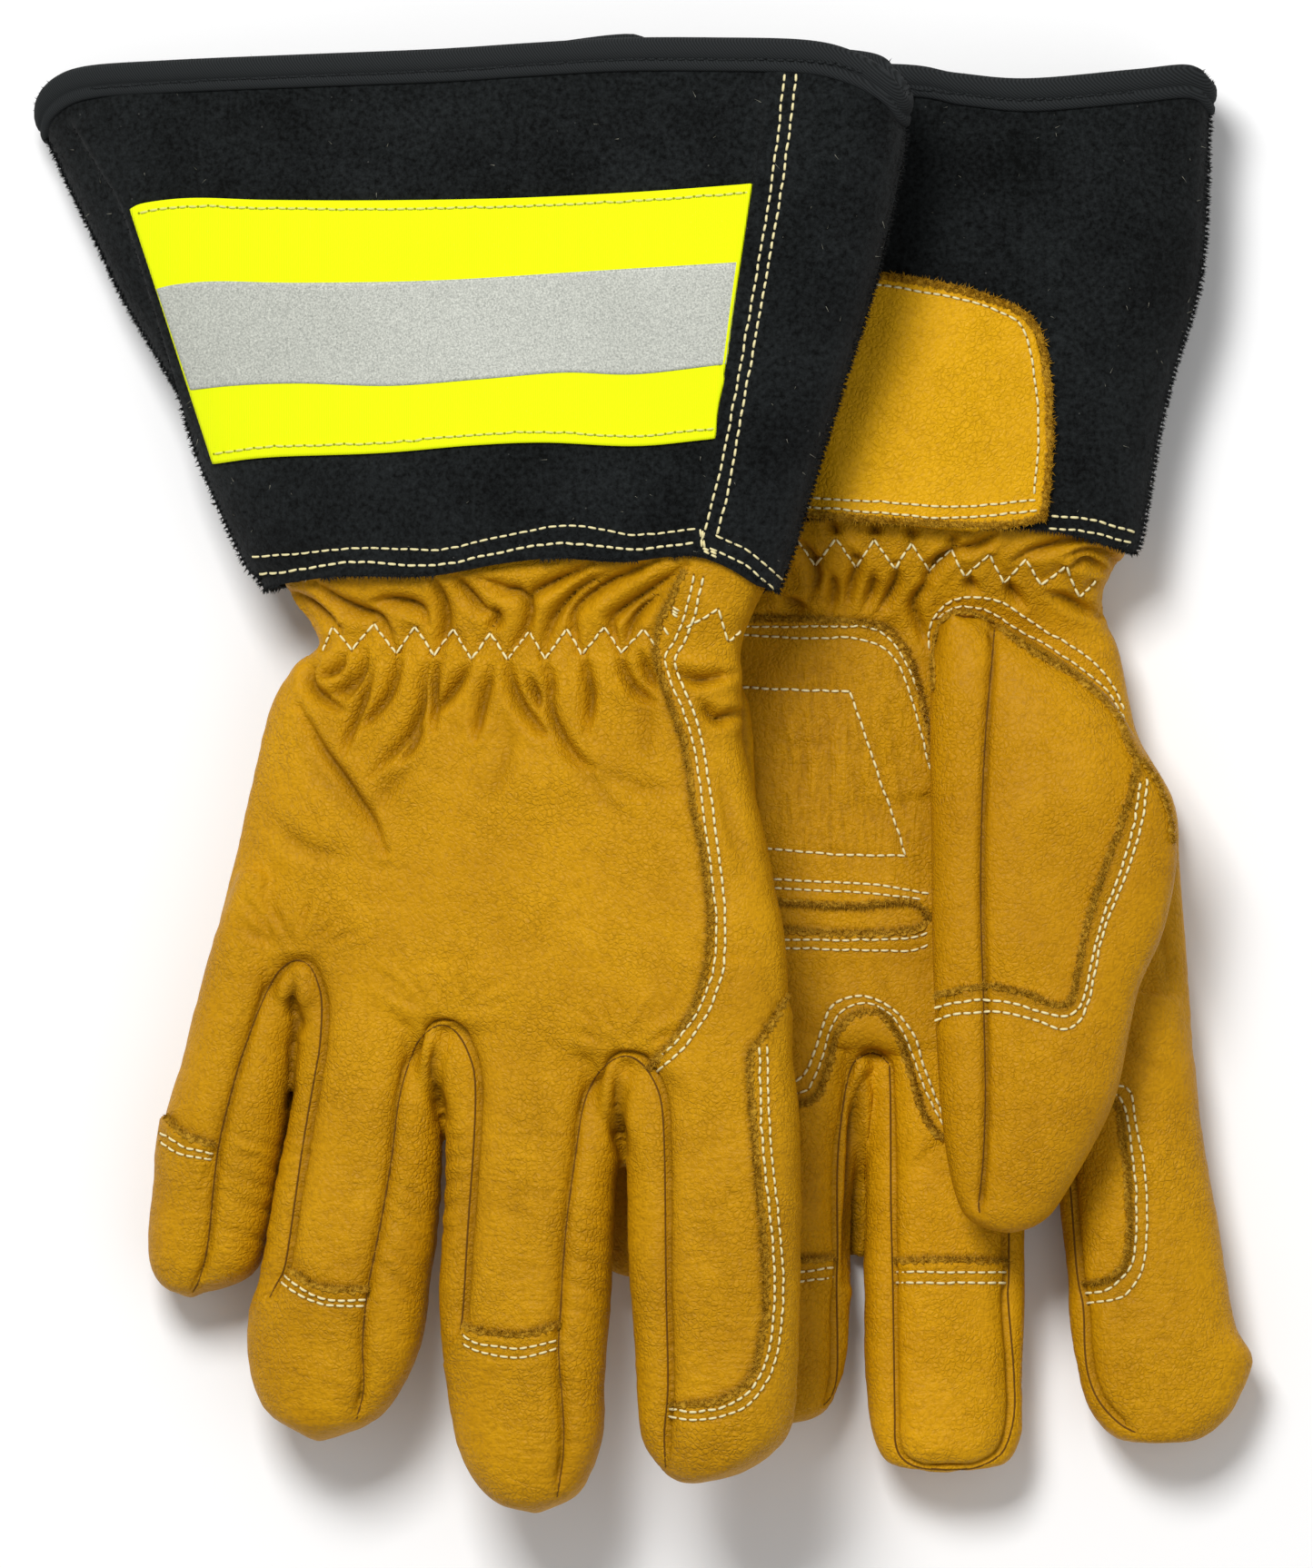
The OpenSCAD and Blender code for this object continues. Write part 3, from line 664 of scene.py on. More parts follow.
leftRows = [
    [(815, 689), (922, 689), (951, 689), (979, 702), (1000, 735), (1019, 787), (1026, 818)],
    [(815, 698), (894, 703), (926, 701), (955, 705), (983, 722), (1000, 758), (1015, 811), (1024, 848)],
    [(815, 757), (936, 761)], [(936, 761), (966, 850), (998, 942)], [(998, 942), (930, 941), (840, 934)],
    [(840, 968), (930, 972), (963, 974), (1024, 984)], [(840, 977), (930, 982), (963, 984), (1014, 990)],
    [(860, 1034), (940, 1035), (1000, 1033), (1022, 1026)],
    [(860, 1044), (940, 1046), (1000, 1046), (1022, 1040)],
    [(864, 1194), (883, 1186), (898, 1154), (907, 1125), (918, 1105), (942, 1097), (963, 1100), (984, 1112),
     (1005, 1137), (1018, 1175), (1038, 1228)],
    [(868, 1205), (890, 1198), (904, 1168), (914, 1134), (928, 1112), (956, 1105), (980, 1117), (997, 1142),
     (1010, 1177), (1026, 1216), (1040, 1240)],
    [(985, 1401), (1050, 1401), (1109, 1401)], [(985, 1413), (1050, 1413), (1109, 1413)],
    [(790, 1404), (874, 1401), (919, 1396)], [(790, 1416), (874, 1412), (919, 1406)],
    [(1221, 1203), (1235, 1210), (1242, 1237), (1247, 1273), (1251, 1309), (1251, 1362), (1246, 1394),
     (1231, 1412), (1217, 1421), (1193, 1425)],
    [(1228, 1194), (1244, 1201), (1250, 1234), (1256, 1266), (1262, 1301), (1263, 1359), (1258, 1398),
     (1244, 1422), (1228, 1431), (1195, 1436)],
]


def underRight(route):
    # the right glove's palm faces down and has the same pieces, in the same sense as seen from above
    return [(x - 425, y + 30) for x, y in route]


# depth and width in mm, and how much painted shade darkens a cut
cuts = {
    "seamHollow": {"depth": 1.4, "width": 2.3, "dark": 0.12},
    "seam": {"depth": 1.3, "width": 0.7, "dark": 0.6},
    "crotch": {"depth": 1.9, "width": 1.2, "dark": 0.8},
    "slit": {"depth": 0.3, "width": 1.0, "dark": 0.95},
    "gather": {"depth": 0.6, "width": 0.75, "dark": 0.4, "taper": True},
    "zigzag": {"depth": 0.6, "width": 1.1, "dark": 0.2},
    "pucker": {"depth": 0.55, "width": 1.1, "dark": 0.2},
    "stitches": {"depth": 0.3, "width": 0.8, "dark": 0.25},
    "pull": {"depth": 1.1, "width": 1.8, "dark": 0.25},
    "wallFold": {"depth": 0.35, "width": 0.9, "dark": 0.15},
    "palmSeamHollow": {"depth": 1.1, "width": 2.6, "dark": 0.1},
    "palmSeam": {"depth": 1.1, "width": 0.7, "dark": 0.5},
    "palmCrotch": {"depth": 3.2, "width": 1.1, "dark": 1.0},
    "palmWrinkle": {"depth": 0.35, "width": 1.0, "dark": 0.2},
    "thumbHollow": {"depth": 1.1, "width": 3.4},
    "thumbSeam": {"depth": 1.4, "width": 0.8, "dark": 0.75},
    "knuckle": {"depth": 0.22, "width": 1.0, "dark": 0.1, "taper": True},
    "cuffStitches": {"depth": 0.35, "width": 1.0},
}
layHigh = 1.0  # mm that a laid-on piece of leather stands up


def cutAll(work, lines, kind, **more):
    for line in lines:
        groove(work, line, **cuts[kind], **more)


def steps(peaks):
    return [[a, b] for a, b in zip(peaks[:-1], peaks[1:])]


def seamsIn(work, lines, hollow, seam):
    for face in ("top", "under"):
        for line in lines:
            groove(work, line, **cuts[hollow], face=face)
            groove(work, line, **cuts[seam], face=face)


def layAll(work, pieces, rows):
    for piece in pieces.values():
        laidOn(work, piece["edge"], layHigh, piece["inner"], piece["reach"])
    cutAll(work, rows, "stitches")


underPieces = {name: {**leftLaid[name], "edge": underRight(leftLaid[name]["edge"])}
               for name in ("palmPatch", "barTop", "barLow")}

work = clay(rightSkin)
swell(work, size=26, high=0.7, seed=3)
swell(work, size=11, high=0.25, seed=4)
swell(work, size=2.2, high=0.1, seed=9)
# wrinkle lines in the grain over the back and the fingertips, with painted shade in their valleys
work["wornAndShade"] = 0.12 * between(work, top=800, bottom=1400, soft=120) * work["top"]
work["ribsAndShade"] = 0.5 * between(work, top=1330, bottom=1700, soft=200)
gathered = between(work, top=655, bottom=790, soft=40)
swell(work, size=8, high=0.5, seed=5, stretch=(1, 0.35), where=gathered)
swell(work, size=3.2, high=0.3, seed=6, stretch=(1, 0.5), where=gathered)
seamsIn(work, seams.values(), "seamHollow", "seam")
for line in crotches:
    crease(work, line, **cuts["crotch"])
cutAll(work, [littleSlit], "slit")
pleats(work, gathers, depth=4.4, width=1.9)
cutAll(work, gathers, "gather")
cutAll(work, steps(rightZig), "zigzag")
pucker(work, rightZig, up=40, down=80, seed=8, face="under")
for line in softPulls:
    crease(work, line, **cuts["pull"])
for top in crotchTops:
    fan(work, top, count=9, reach=110)
for start, end in wallFolds.values():
    for step in range(5):
        lean = chance.uniform(-6, 6)
        y = step * 26 + chance.uniform(-5, 5)
        x = -step * 3
        crease(work, [(start[0] + x, start[1] + y + lean), (end[0] + x, end[1] + y)], **cuts["wallFold"])
for piece in underPieces.values():
    laidOn(work, piece["edge"], layHigh, piece["inner"], piece["reach"], face="under")
layAll(work, rightLaid, rightRows)
knuckleFolds(work, [(262, 1180, 18), (395, 1290, 22), (385, 1200, 20), (572, 1320, 28), (580, 1230, 26),
                    (780, 1340, 26), (775, 1250, 28)])
press(work)

palmCrotch = [(954, 1186), (943, 1212), (940, 1280), (938, 1340), (934, 1410)]
palmWrinkles = [[(900, 770), (912, 830), (905, 900)], [(930, 770), (940, 830), (944, 900)],
                [(880, 790), (885, 850), (878, 920)], [(850, 810), (880, 822), (930, 815)],
                [(960, 1055), (968, 1080), (980, 1100)], [(935, 1050), (940, 1075), (948, 1095)],
                [(1262, 1000), (1280, 1040), (1288, 1080)], [(1240, 1150), (1262, 1170), (1290, 1180)]]
palmGathers = [
    [(875, 595), (888, 611), (897, 637), (891, 659)], [(908, 573), (917, 584), (920, 592)],
    [(936, 608), (943, 625), (937, 646), (931, 670)], [(957, 576), (963, 586), (964, 593)],
    [(986, 625), (986, 643), (978, 659), (967, 676)], [(998, 579), (1003, 589), (1006, 597)],
    [(1020, 631), (1019, 646), (1009, 659), (1006, 672), (1014, 694), (1022, 713)],
    [(1063, 601), (1044, 613), (1028, 627), (1014, 652)],
    [(1117, 619), (1127, 613), (1146, 605), (1184, 593), (1219, 589)],
    [(1175, 613), (1200, 607), (1223, 613), (1232, 629)], [(1181, 624), (1197, 619), (1218, 629)],
    [(1154, 654), (1178, 663), (1197, 672), (1211, 679)], [(1095, 587), (1076, 601), (1050, 606)],
    [(1044, 589), (1049, 598), (1047, 608)], [(913, 633), (918, 652), (914, 672)],
    [(961, 633), (960, 652), (952, 670)], [(1065, 635), (1068, 645), (1077, 652)],
    [(1109, 642), (1115, 656), (1127, 667)], [(859, 656), (870, 665), (888, 672)],
]

leftZig = [(876, 593), (897, 623), (920, 593), (942, 625), (962, 593), (985, 627), (1003, 597), (1022, 629),
           (1047, 604), (1062, 635), (1089, 610), (1105, 642), (1130, 615), (1146, 644), (1173, 623),
           (1188, 658), (1207, 638)]

work = clay(leftSkin)
swell(work, size=24, high=0.6, seed=13)
swell(work, size=10, high=0.25, seed=14)
swell(work, size=2.2, high=0.08, seed=19)
gathered = between(work, top=600, bottom=700, soft=34)
swell(work, size=8, high=0.5, seed=15, stretch=(1, 0.35), where=gathered)
seamsIn(work, leftSeams.values(), "palmSeamHollow", "palmSeam")
pleats(work, palmGathers, depth=3.6, width=1.7)
cutAll(work, palmGathers, "gather")
cutAll(work, steps(leftZig), "zigzag")
pucker(work, leftZig, up=24, down=60, seed=18, face="under")
crease(work, palmCrotch, **cuts["palmCrotch"])
for line in palmWrinkles:
    crease(work, line, **cuts["palmWrinkle"])
across = photo["midX"] + work["xy"][:, 0] / photo["pixel"]
# wrinkle lines in the grain over the fingertips and the palm patch, with painted shade in their valleys
work["ribsAndShade"] = 0.35 * between(work, top=1330, bottom=1700, soft=150)
palmPatch = ease((across - 820) / 60) * ease((1035 - across) / 30)
work["wornAndShade"] = between(work, top=745, bottom=935, soft=50) * palmPatch * work["top"]
# painted shade over the palm, where the thumb and the right glove shade it
work["fold"] += 0.1 * between(work, top=720, bottom=1120, soft=60) * ease((1060 - across) / 40) * work["top"]
layAll(work, leftLaid, leftRows)
press(work)

thumbSeam = [(1096, 668), (1094, 700), (1085, 800), (1080, 900), (1079, 1000), (1082, 1100), (1084, 1200),
             (1082, 1270), (1079, 1305), (1077, 1328), (1081, 1342)]
thumbLaid = {"inner": -1, "reach": 10, "high": -0.7, "edge": [
    (1028, 760), (1027, 714), (1030, 696), (1039, 682), (1057, 674), (1076, 679), (1095, 688), (1127, 710),
    (1159, 729), (1191, 749), (1216, 772), (1232, 792), (1242, 820), (1251, 838), (1245, 870), (1233, 909),
    (1212, 967), (1196, 1020), (1186, 1069), (1182, 1093), (1176, 1104), (1159, 1107), (1135, 1096),
    (1102, 1088), (1082, 1086), (1029, 1096)]}
thumbRows = [
    [(1023, 715), (1023, 698), (1028, 681), (1044, 662), (1070, 657), (1095, 660), (1114, 669), (1146, 691),
     (1184, 714), (1210, 734), (1229, 762), (1238, 782)],
    [(1031, 681), (1050, 668), (1076, 668), (1097, 677), (1122, 693), (1160, 715), (1193, 738), (1220, 761),
     (1238, 792)],
    [(1262, 856), (1257, 901), (1243, 950), (1224, 999), (1212, 1032), (1204, 1073), (1198, 1101),
     (1186, 1126), (1171, 1133), (1147, 1126), (1114, 1116), (1082, 1114), (1053, 1116), (1027, 1124)],
    [(1254, 860), (1248, 905), (1233, 958), (1214, 1007), (1202, 1052), (1194, 1093), (1186, 1112),
     (1171, 1119), (1147, 1114), (1114, 1104), (1082, 1101), (1049, 1104), (1027, 1110)],
]
thumbGusset = [(1256, 836), (1272, 860), (1286, 896), (1290, 928)]
work = clay(thumbSkin)
swell(work, size=22, high=0.5, seed=23)
cutAll(work, [thumbSeam], "thumbHollow")
cutAll(work, [thumbSeam], "thumbSeam")
laidOn(work, thumbLaid["edge"], thumbLaid["high"], thumbLaid["inner"], thumbLaid["reach"])
cutAll(work, thumbRows, "stitches")
press(work)

# The suede cuffs, with the band, the patch and the lining that are sewn to them


def cuffGrid(spec, place, cols=330, rows=104):
    # a flat tube between two side lines, a low edge and a rim, each bent as the photograph shows
    low, rim = rail(spec["low"], 200), rail(spec["rim"], 200)
    backRim = rail(spec["backRim"], 200)
    left, right = rail(spec["left"], rows), rail(spec["right"], rows)
    cx, sz = superellipse(np.linspace(0, 2 * math.pi, cols + 1), spec["square"])
    s = np.linspace(0, 1, rows)[:, None, None]
    u = ((cx + 1) / 2)[None, :, None]

    def across(line):
        at = np.linspace(0, 1, len(line))
        return np.stack([np.interp(u[0, :, 0], at, line[:, i]) for i in (0, 1)], -1)[None]

    front = ease((sz + 0.25) / 0.5)[None, :, None]
    top = across(rim) * front + across(backRim) * (1 - front)
    edge = (1 - u) * left[:, None, :] + u * right[:, None, :]
    corner = (1 - s) * ((1 - u) * low[0] + u * low[-1]) + s * ((1 - u) * rim[0] + u * rim[-1])
    flat = (1 - s) * across(low) + s * top + edge - corner
    half = heights(s[:, 0, 0], spec["half"])
    wave = spec["wave"] * mm * np.sin(u[0, :, 0] * 7 + 0.8) * np.abs(sz)
    h = half[:, None] * sz[None, :] + s[:, :, 0] * wave[None, :]
    return place(flat[..., 0], flat[..., 1], h)


def outward(points):
    # normals of a tube of points that runs round in its second index
    ring = np.concatenate([points[:, -2:-1], points, points[:, 1:2]], 1)
    turn = ring[:, 2:] - ring[:, :-2]
    n = unit(np.cross(turn, np.gradient(points, axis=0)))
    away = points - points[:, :-1].mean(1, keepdims=True)
    return n if (n * away).sum() > 0 else -n


def hem(name, points, profile):
    # a band folded over the rim: each profile step is a distance down from the rim and out from the suede
    n = outward(points)
    reach = np.linalg.norm(np.diff(points[::-1], axis=0), axis=2)
    down = np.concatenate([np.zeros((1, reach.shape[1])), np.cumsum(reach, 0)])
    rim = unit(points[-1] - points[-3])
    rows = []
    for deep, out in profile:
        row = np.empty_like(rim)
        for c in range(len(row)):
            for k in range(3):
                row[c, k] = np.interp(max(deep, 0) * mm, down[:, c], points[::-1, c, k])
        rows.append(row + n[-2] * out * mm + rim * max(-deep, 0) * mm)
    return gridPiece(name, np.array(rows), joined=True)


def treeOf(obj):
    # a piece's surface, for casting down on it
    return BVHTree.FromPolygons(coords(obj).tolist(), [list(p.vertices) for p in obj.data.polygons])


castFrom = 0.3  # height that rays are cast down from, or up from below


def drop(tree, xy, lift=0.0, up=True):
    # places and normals where plan points meet the surface from above, or from below
    sign = 1 if up else -1
    co, n = np.empty((len(xy), 3)), np.empty((len(xy), 3))
    last = (Vector((xy[0][0], xy[0][1], 0.02)), Vector((0, 0, sign)))
    for i, (x, y) in enumerate(xy):
        spot, normal, _, _ = tree.ray_cast(Vector((x, y, castFrom * sign)), Vector((0, 0, -sign)))
        if spot is None:
            spot = Vector((x, y, last[0].z))
            normal = last[1]
        elif normal.z * sign < 0:
            normal = -normal
        last = (spot, normal)
        co[i], n[i] = spot + normal * lift, normal
    return co, n


def drape(name, tree, spec, rows, cols, lift, thick, up=True):
    # a flat piece sewn on a surface, between its top and low edges
    top, low = rail(spec["top"], cols), rail(spec["low"], cols)
    t = np.linspace(0, 1, rows)[:, None, None]
    flat = top[None] * (1 - t) + low[None] * t
    bulge = spec.get("bulge", 0) * photo["pixel"]
    flat[..., 0] += bulge * np.sin(t[..., 0] * math.pi) * np.linspace(0, 1, cols) ** 3
    co, n = drop(tree, flat.reshape(-1, 2), lift * mm, up)
    obj = gridPiece(name, co.reshape(rows, cols, 3))
    if (normals(obj)[:, 2].mean() > 0) != up:
        bpy.ops.object.mode_set(mode="EDIT")
        bpy.ops.mesh.flip_normals()
        bpy.ops.object.mode_set(mode="OBJECT")
    apply(obj, "SMOOTH", factor=0.5, iterations=2)
    apply(obj, "SOLIDIFY", thickness=thick * mm, offset=-1)
    return obj


rightCuffForm = {
    "left": [(292, 649), (231, 520), (198, 440), (136, 330), (60, 170), (43, 124)],
    "right": [(856, 652), (880, 580), (940, 380), (985, 200), (997, 108)],
    "low": [(292, 649), (337, 641), (386, 635), (447, 635), (488, 634), (529, 628), (570, 621), (631, 615),
            (664, 617), (705, 619), (762, 612), (805, 620), (856, 652)],
    "rim": [(43, 124), (58, 96), (100, 76), (200, 69), (360, 63), (500, 58), (600, 52), (700, 47),
            (800, 47), (900, 50), (950, 62), (985, 84), (997, 108)],
    "backRim": [(43, 124), (60, 100), (110, 80), (200, 73), (400, 66), (560, 52), (670, 40), (720, 50),
                (930, 60), (975, 80), (997, 108)],
    "half": [(0, 14.6), (0.2, 14.8), (1, 13.4)], "square": 2.5, "wave": 0.9,
}
leftCuffForm = {
    "left": [(748, 600), (690, 440), (600, 280), (500, 130), (470, 92)],
    "right": [(1247, 608), (1258, 588), (1291, 420), (1320, 300), (1331, 150), (1334, 92)],
    "low": [(748, 600), (885, 572), (1050, 580), (1155, 585), (1247, 608)],
    "rim": [(470, 92), (700, 80), (973, 73), (1054, 83), (1132, 89), (1249, 79), (1312, 74), (1334, 92)],
    "backRim": [(470, 92), (700, 84), (973, 78), (1054, 88), (1132, 93), (1249, 83), (1312, 78), (1334, 92)],
    "half": [(0, 14.4), (0.2, 14.6), (1, 13.4)], "square": 2.5, "wave": 0.6,
}
suede = {"thick": 1.5 * mm}
binding = {"profile": [(6.2, -0.3), (6.2, 0.4), (5.9, 0.85), (5.2, 1.0), (4.6, 1.0), (4.2, 0.8), (3.9, 0.6),
                       (3.6, 0.75), (3.2, 1.05), (2.2, 1.25), (1, 1.2), (0.2, 0.95), (-0.4, 0.2),
                       (-0.6, -0.75), (-0.4, -1.7), (0.3, -2.3), (2, -2.5), (5, -2.45), (6, -2.3),
                       (6.2, -1.4)]}
cuffSeam = {
    "edge": [(848, 70), (838, 140), (828, 203), (807, 340), (786, 487), (770, 557), (762, 600)],
    "rows": [[(864, 72), (852, 180), (832, 306), (801, 478), (783, 557), (772, 596)],
             [(877, 72), (864, 180), (842, 313), (814, 468), (798, 557), (788, 590)]],
    "hem": [[(284, 632), (337, 626), (386, 619), (447, 622), (488, 622), (549, 609), (611, 599), (652, 601),
             (700, 606), (764, 598)],
            [(276, 613), (337, 609), (386, 604), (447, 605), (488, 605), (549, 592), (611, 580), (652, 582),
             (701, 590), (766, 583)]],
    "outer": [[(786, 590), (820, 605), (862, 640)], [(780, 604), (815, 620), (852, 650)]],
    "leftEdge": [(74, 124), (94, 158), (113, 191), (135, 231), (176, 360), (222, 512), (264, 602),
                 (284, 644)],
}
tape = {
    "top": [(143, 229), (160, 222), (215, 217), (300, 220), (420, 221), (560, 219), (700, 213), (829, 204)],
    "low": [(236, 511), (300, 504), (420, 500), (520, 492), (600, 489), (700, 493), (787, 485)],
}
strip = {
    "top": [(171, 317), (195, 312), (240, 309), (330, 311), (480, 309), (640, 300), (814, 290)],
    "low": [(209, 430), (260, 425), (330, 423), (430, 426), (530, 419), (620, 412), (700, 414), (799, 403)],
}
pulse = {
    "top": [(852, 290), (955, 300), (1010, 307), (1060, 318), (1110, 334), (1134, 350)],
    "low": [(840, 562), (885, 568), (960, 574), (1050, 580), (1110, 580), (1150, 572)],
    "bulge": 14,
    "side": [(1134, 350), (1148, 374), (1155, 420), (1158, 480), (1155, 530), (1150, 572)],
    "rows": [[(852, 302), (955, 312), (1060, 330), (1106, 346), (1128, 366), (1139, 420), (1143, 480),
              (1138, 545)],
             [(840, 544), (960, 552), (1050, 558), (1142, 550)],
             [(840, 554), (960, 564), (1050, 570), (1142, 562)]],
}
leftHem = [[(1156, 568), (1200, 572), (1250, 586)], [(1154, 581), (1200, 586), (1246, 598)]]
# the same pieces on the sides that face down
tapeUnder = {"top": [(640, 180), (860, 174), (1186, 178)], "low": [(796, 452), (930, 448), (1176, 454)]}
stripUnder = {"top": [(686, 258), (870, 252), (1182, 256)], "low": [(748, 366), (900, 362), (1178, 366)]}
pulseUnder = {"top": [(440, 352), (620, 338), (760, 344), (786, 360)],
              "low": [(462, 600), (620, 612), (786, 604)],
              "bulge": 10}


def cuffUp(x, y, h):
    return np.maximum(onLeft(x, y, h, leftLie["cuffMid"]), [-9, -9, 1.2 * mm])


rightTube = cuffGrid(rightCuffForm, onRight)
leftTube = flattened(cuffGrid(leftCuffForm, cuffUp))
rightCuff = gridPiece("rightCuffSuede", rightTube, joined=True)
leftCuff = gridPiece("leftCuffSuede", leftTube, joined=True)

work = clay(rightCuff)
calm = 1 - between(work, top=0, bottom=130, soft=30)
swell(work, size=34, high=0.9, seed=33, where=calm)
swell(work, size=12, high=0.2, seed=34, where=calm)
laidOn(work, cuffSeam["edge"], high=1.3, inner=1, reach=30, soft=0.5)
laidOn(work, cuffSeam["leftEdge"], high=1.4, inner=1, reach=26, soft=0.5)
cuffRows = cuffSeam["rows"] + cuffSeam["hem"] + cuffSeam["outer"]
cutAll(work, cuffRows, "cuffStitches")
press(work)
work = clay(leftCuff)
swell(work, size=34, high=0.7, seed=43, where=1 - between(work, top=0, bottom=130, soft=30))
press(work)
cuffTree = {"right": treeOf(rightCuff), "left": treeOf(leftCuff)}
for cuff in (rightCuff, leftCuff):
    apply(cuff, "SOLIDIFY", thickness=suede["thick"], offset=-1)
rightBinding = hem("rightCuffBinding", rightTube, binding["profile"])
leftBinding = hem("leftCuffBinding", leftTube, binding["profile"])
tapeCloth = {"lift": 0.75, "thick": 0.8}
tapeClothUnder = {"lift": 0.5, "thick": 0.6, "up": False}
beads = {"lift": 0.12, "thick": 0.3}
patchHide = {"lift": 1.15, "thick": 1.2}
hivis = drape("hivisTape", cuffTree["right"], tape, rows=64, cols=150, **tapeCloth)
silver = drape("reflectiveStrip", treeOf(hivis), strip, rows=28, cols=150, **beads)
pulsePatch = drape("pulsePatch", cuffTree["left"], pulse, rows=90, cols=90, **patchHide)
hivisUnder = drape("hivisTapeUnder", cuffTree["left"], tapeUnder, rows=50, cols=110, **tapeClothUnder)
silverUnder = drape("reflectiveStripUnder", treeOf(hivisUnder), stripUnder, rows=24, cols=110, **beads,
                    up=False)
pulsePatchUnder = drape("pulsePatchUnder", cuffTree["right"], pulseUnder, rows=60, cols=70, **patchHide,
                        up=False)
print("cuffs cut")


def inside(spec, place, start, end, wide, thick, closed):
    # a tube inside the wrist, from one place along the hand to another
    left, right = rail(spec["left"], 200), rail(spec["right"], 200)
    t = np.linspace(start, end, 40)
    at = (t * 199).astype(int)
    half = heights(t, spec["half"]) * thick
    sag = heights(t, spec.get("sag", noSag))
    if closed:
        half = half * np.sqrt(np.maximum(1 - ((t - start) / (end - start)) ** 6, 0.01))
    cx, sz = superellipse(np.linspace(0, 2 * math.pi, 97), spec["square"])
    mid, reach = (left + right)[at] / 2, (right - left)[at] / 2 * wide
    flat = mid[:, None] + reach[:, None] * cx[None, :, None]
    return place(flat[..., 0], flat[..., 1], half[:, None] * sz[None, :] + sag[:, None])


def palmFlat(x, y, h):
    return flattened(palmUp(x, y, h))


lining = {"start": 0.02, "end": 0.6, "wide": 0.88, "thick": 0.42, "closed": True}
elastic = {"start": 0.2, "end": 0.26, "wide": 0.9, "thick": 0.45, "closed": False}
innards = {}
for side, spec, place in (("right", rightHand, onRight), ("left", leftHand, palmFlat)):
    knit = gridPiece(side + "Lining", inside(spec, place, **lining), joined=True)
    band = gridPiece(side + "WristElastic", inside(spec, place, **elastic), joined=True)
    apply(knit, "SOLIDIFY", thickness=0.5 * mm, offset=1)
    apply(band, "SOLIDIFY", thickness=0.4 * mm, offset=1)
    innards[side] = (knit, band)

# The neck of each hand is open, and its lining shows inside


def openNeck(obj, y):
    only(obj)
    bpy.ops.object.mode_set(mode="EDIT")
    bpy.ops.mesh.select_all(action="DESELECT")
    bpy.ops.object.mode_set(mode="OBJECT")
    high = coords(obj)[:, 1] > y
    obj.data.vertices.foreach_set("select", high)
    bpy.ops.object.mode_set(mode="EDIT")
    bpy.ops.mesh.delete(type="VERT")
    bpy.ops.object.mode_set(mode="OBJECT")


skinTree = {"right": treeOf(rightSkin), "left": treeOf(leftSkin), "thumb": treeOf(thumbSkin)}
for skinned, spec in ((rightSkin, rightHand), (leftSkin, leftHand)):
    openNeck(skinned, plan(spec["left"][:1])[0, 1] - 1.5 * mm)

# Each finger is a piece of its own, cut above the knuckle, and keeps the normals of the whole skin
knuckle = {"cut": -56 * mm, "start": -57.5 * mm, "end": -80 * mm}


def fingerOf(xy, fingers):
    # 0 for the hand, and 1 to 4 for the finger whose sides a plan point lies between or next to
    far = []
    for spec in fingers.values():
        left, right = [np.interp(-xy[:, 1], np.maximum.accumulate(-line[:, 1]), line[:, 0])
                       for line in (rail(spec["left"], 120), rail(spec["right"], 120))]
        far.append(np.maximum(left - xy[:, 0], xy[:, 0] - right))
    return np.where(xy[:, 1] < knuckle["cut"], np.argmin(far, 0) + 1, 0)


wallInset = 0.4 * mm  # keeps the wall under the skin at its edge


def chains(edges):
    # edges that join end to end
    left = set(edges)
    while left:
        chain = [left.pop()]
        for edge in chain:
            for vert in edge.verts:
                more = [e for e in vert.link_edges if e in left]
                left.difference_update(more)
                chain += more
        yield chain


def closeSides(part):
    # a finger has a wall of its own where it was cut from its neighbour
    shape = bmesh.new()
    shape.from_mesh(part.data)
    normal = shape.verts.layers.float_vector["skinNormal"]
    middle = coords(part)[:, 0].mean()
    low = knuckle["cut"] - 0.7 * mm
    rims = list(chains([e for e in shape.edges if e.is_boundary and max(v.co.y for v in e.verts) < low]))
    for rim in rims:
        if len(rim) < 6:
            continue
        copy = bmesh.ops.duplicate(shape, geom=rim)["geom"]
        edges = [g for g in copy if isinstance(g, bmesh.types.BMEdge)]
        verts = [g for g in copy if isinstance(g, bmesh.types.BMVert)]
        ends = [v for v in verts if len(v.link_edges) == 1]
        if len(ends) == 2:
            edges.append(shape.edges.new(ends))
        wall = [g for g in bmesh.ops.triangle_fill(shape, edges=edges, use_beauty=True)["geom"]
                if isinstance(g, bmesh.types.BMFace)]
        away = math.copysign(1, sum(v.co.x for v in verts) / len(verts) - middle)
        for face in wall:
            face.normal_update()
            if face.normal.x * away < 0:
                face.normal_flip()
        for vert in verts:
            vert.co -= vert[normal] * wallInset + Vector((away, 0, 0)) * wallInset
            vert[normal] = Vector((away, 0, 0))
    shape.to_mesh(part.data)
    shape.free()


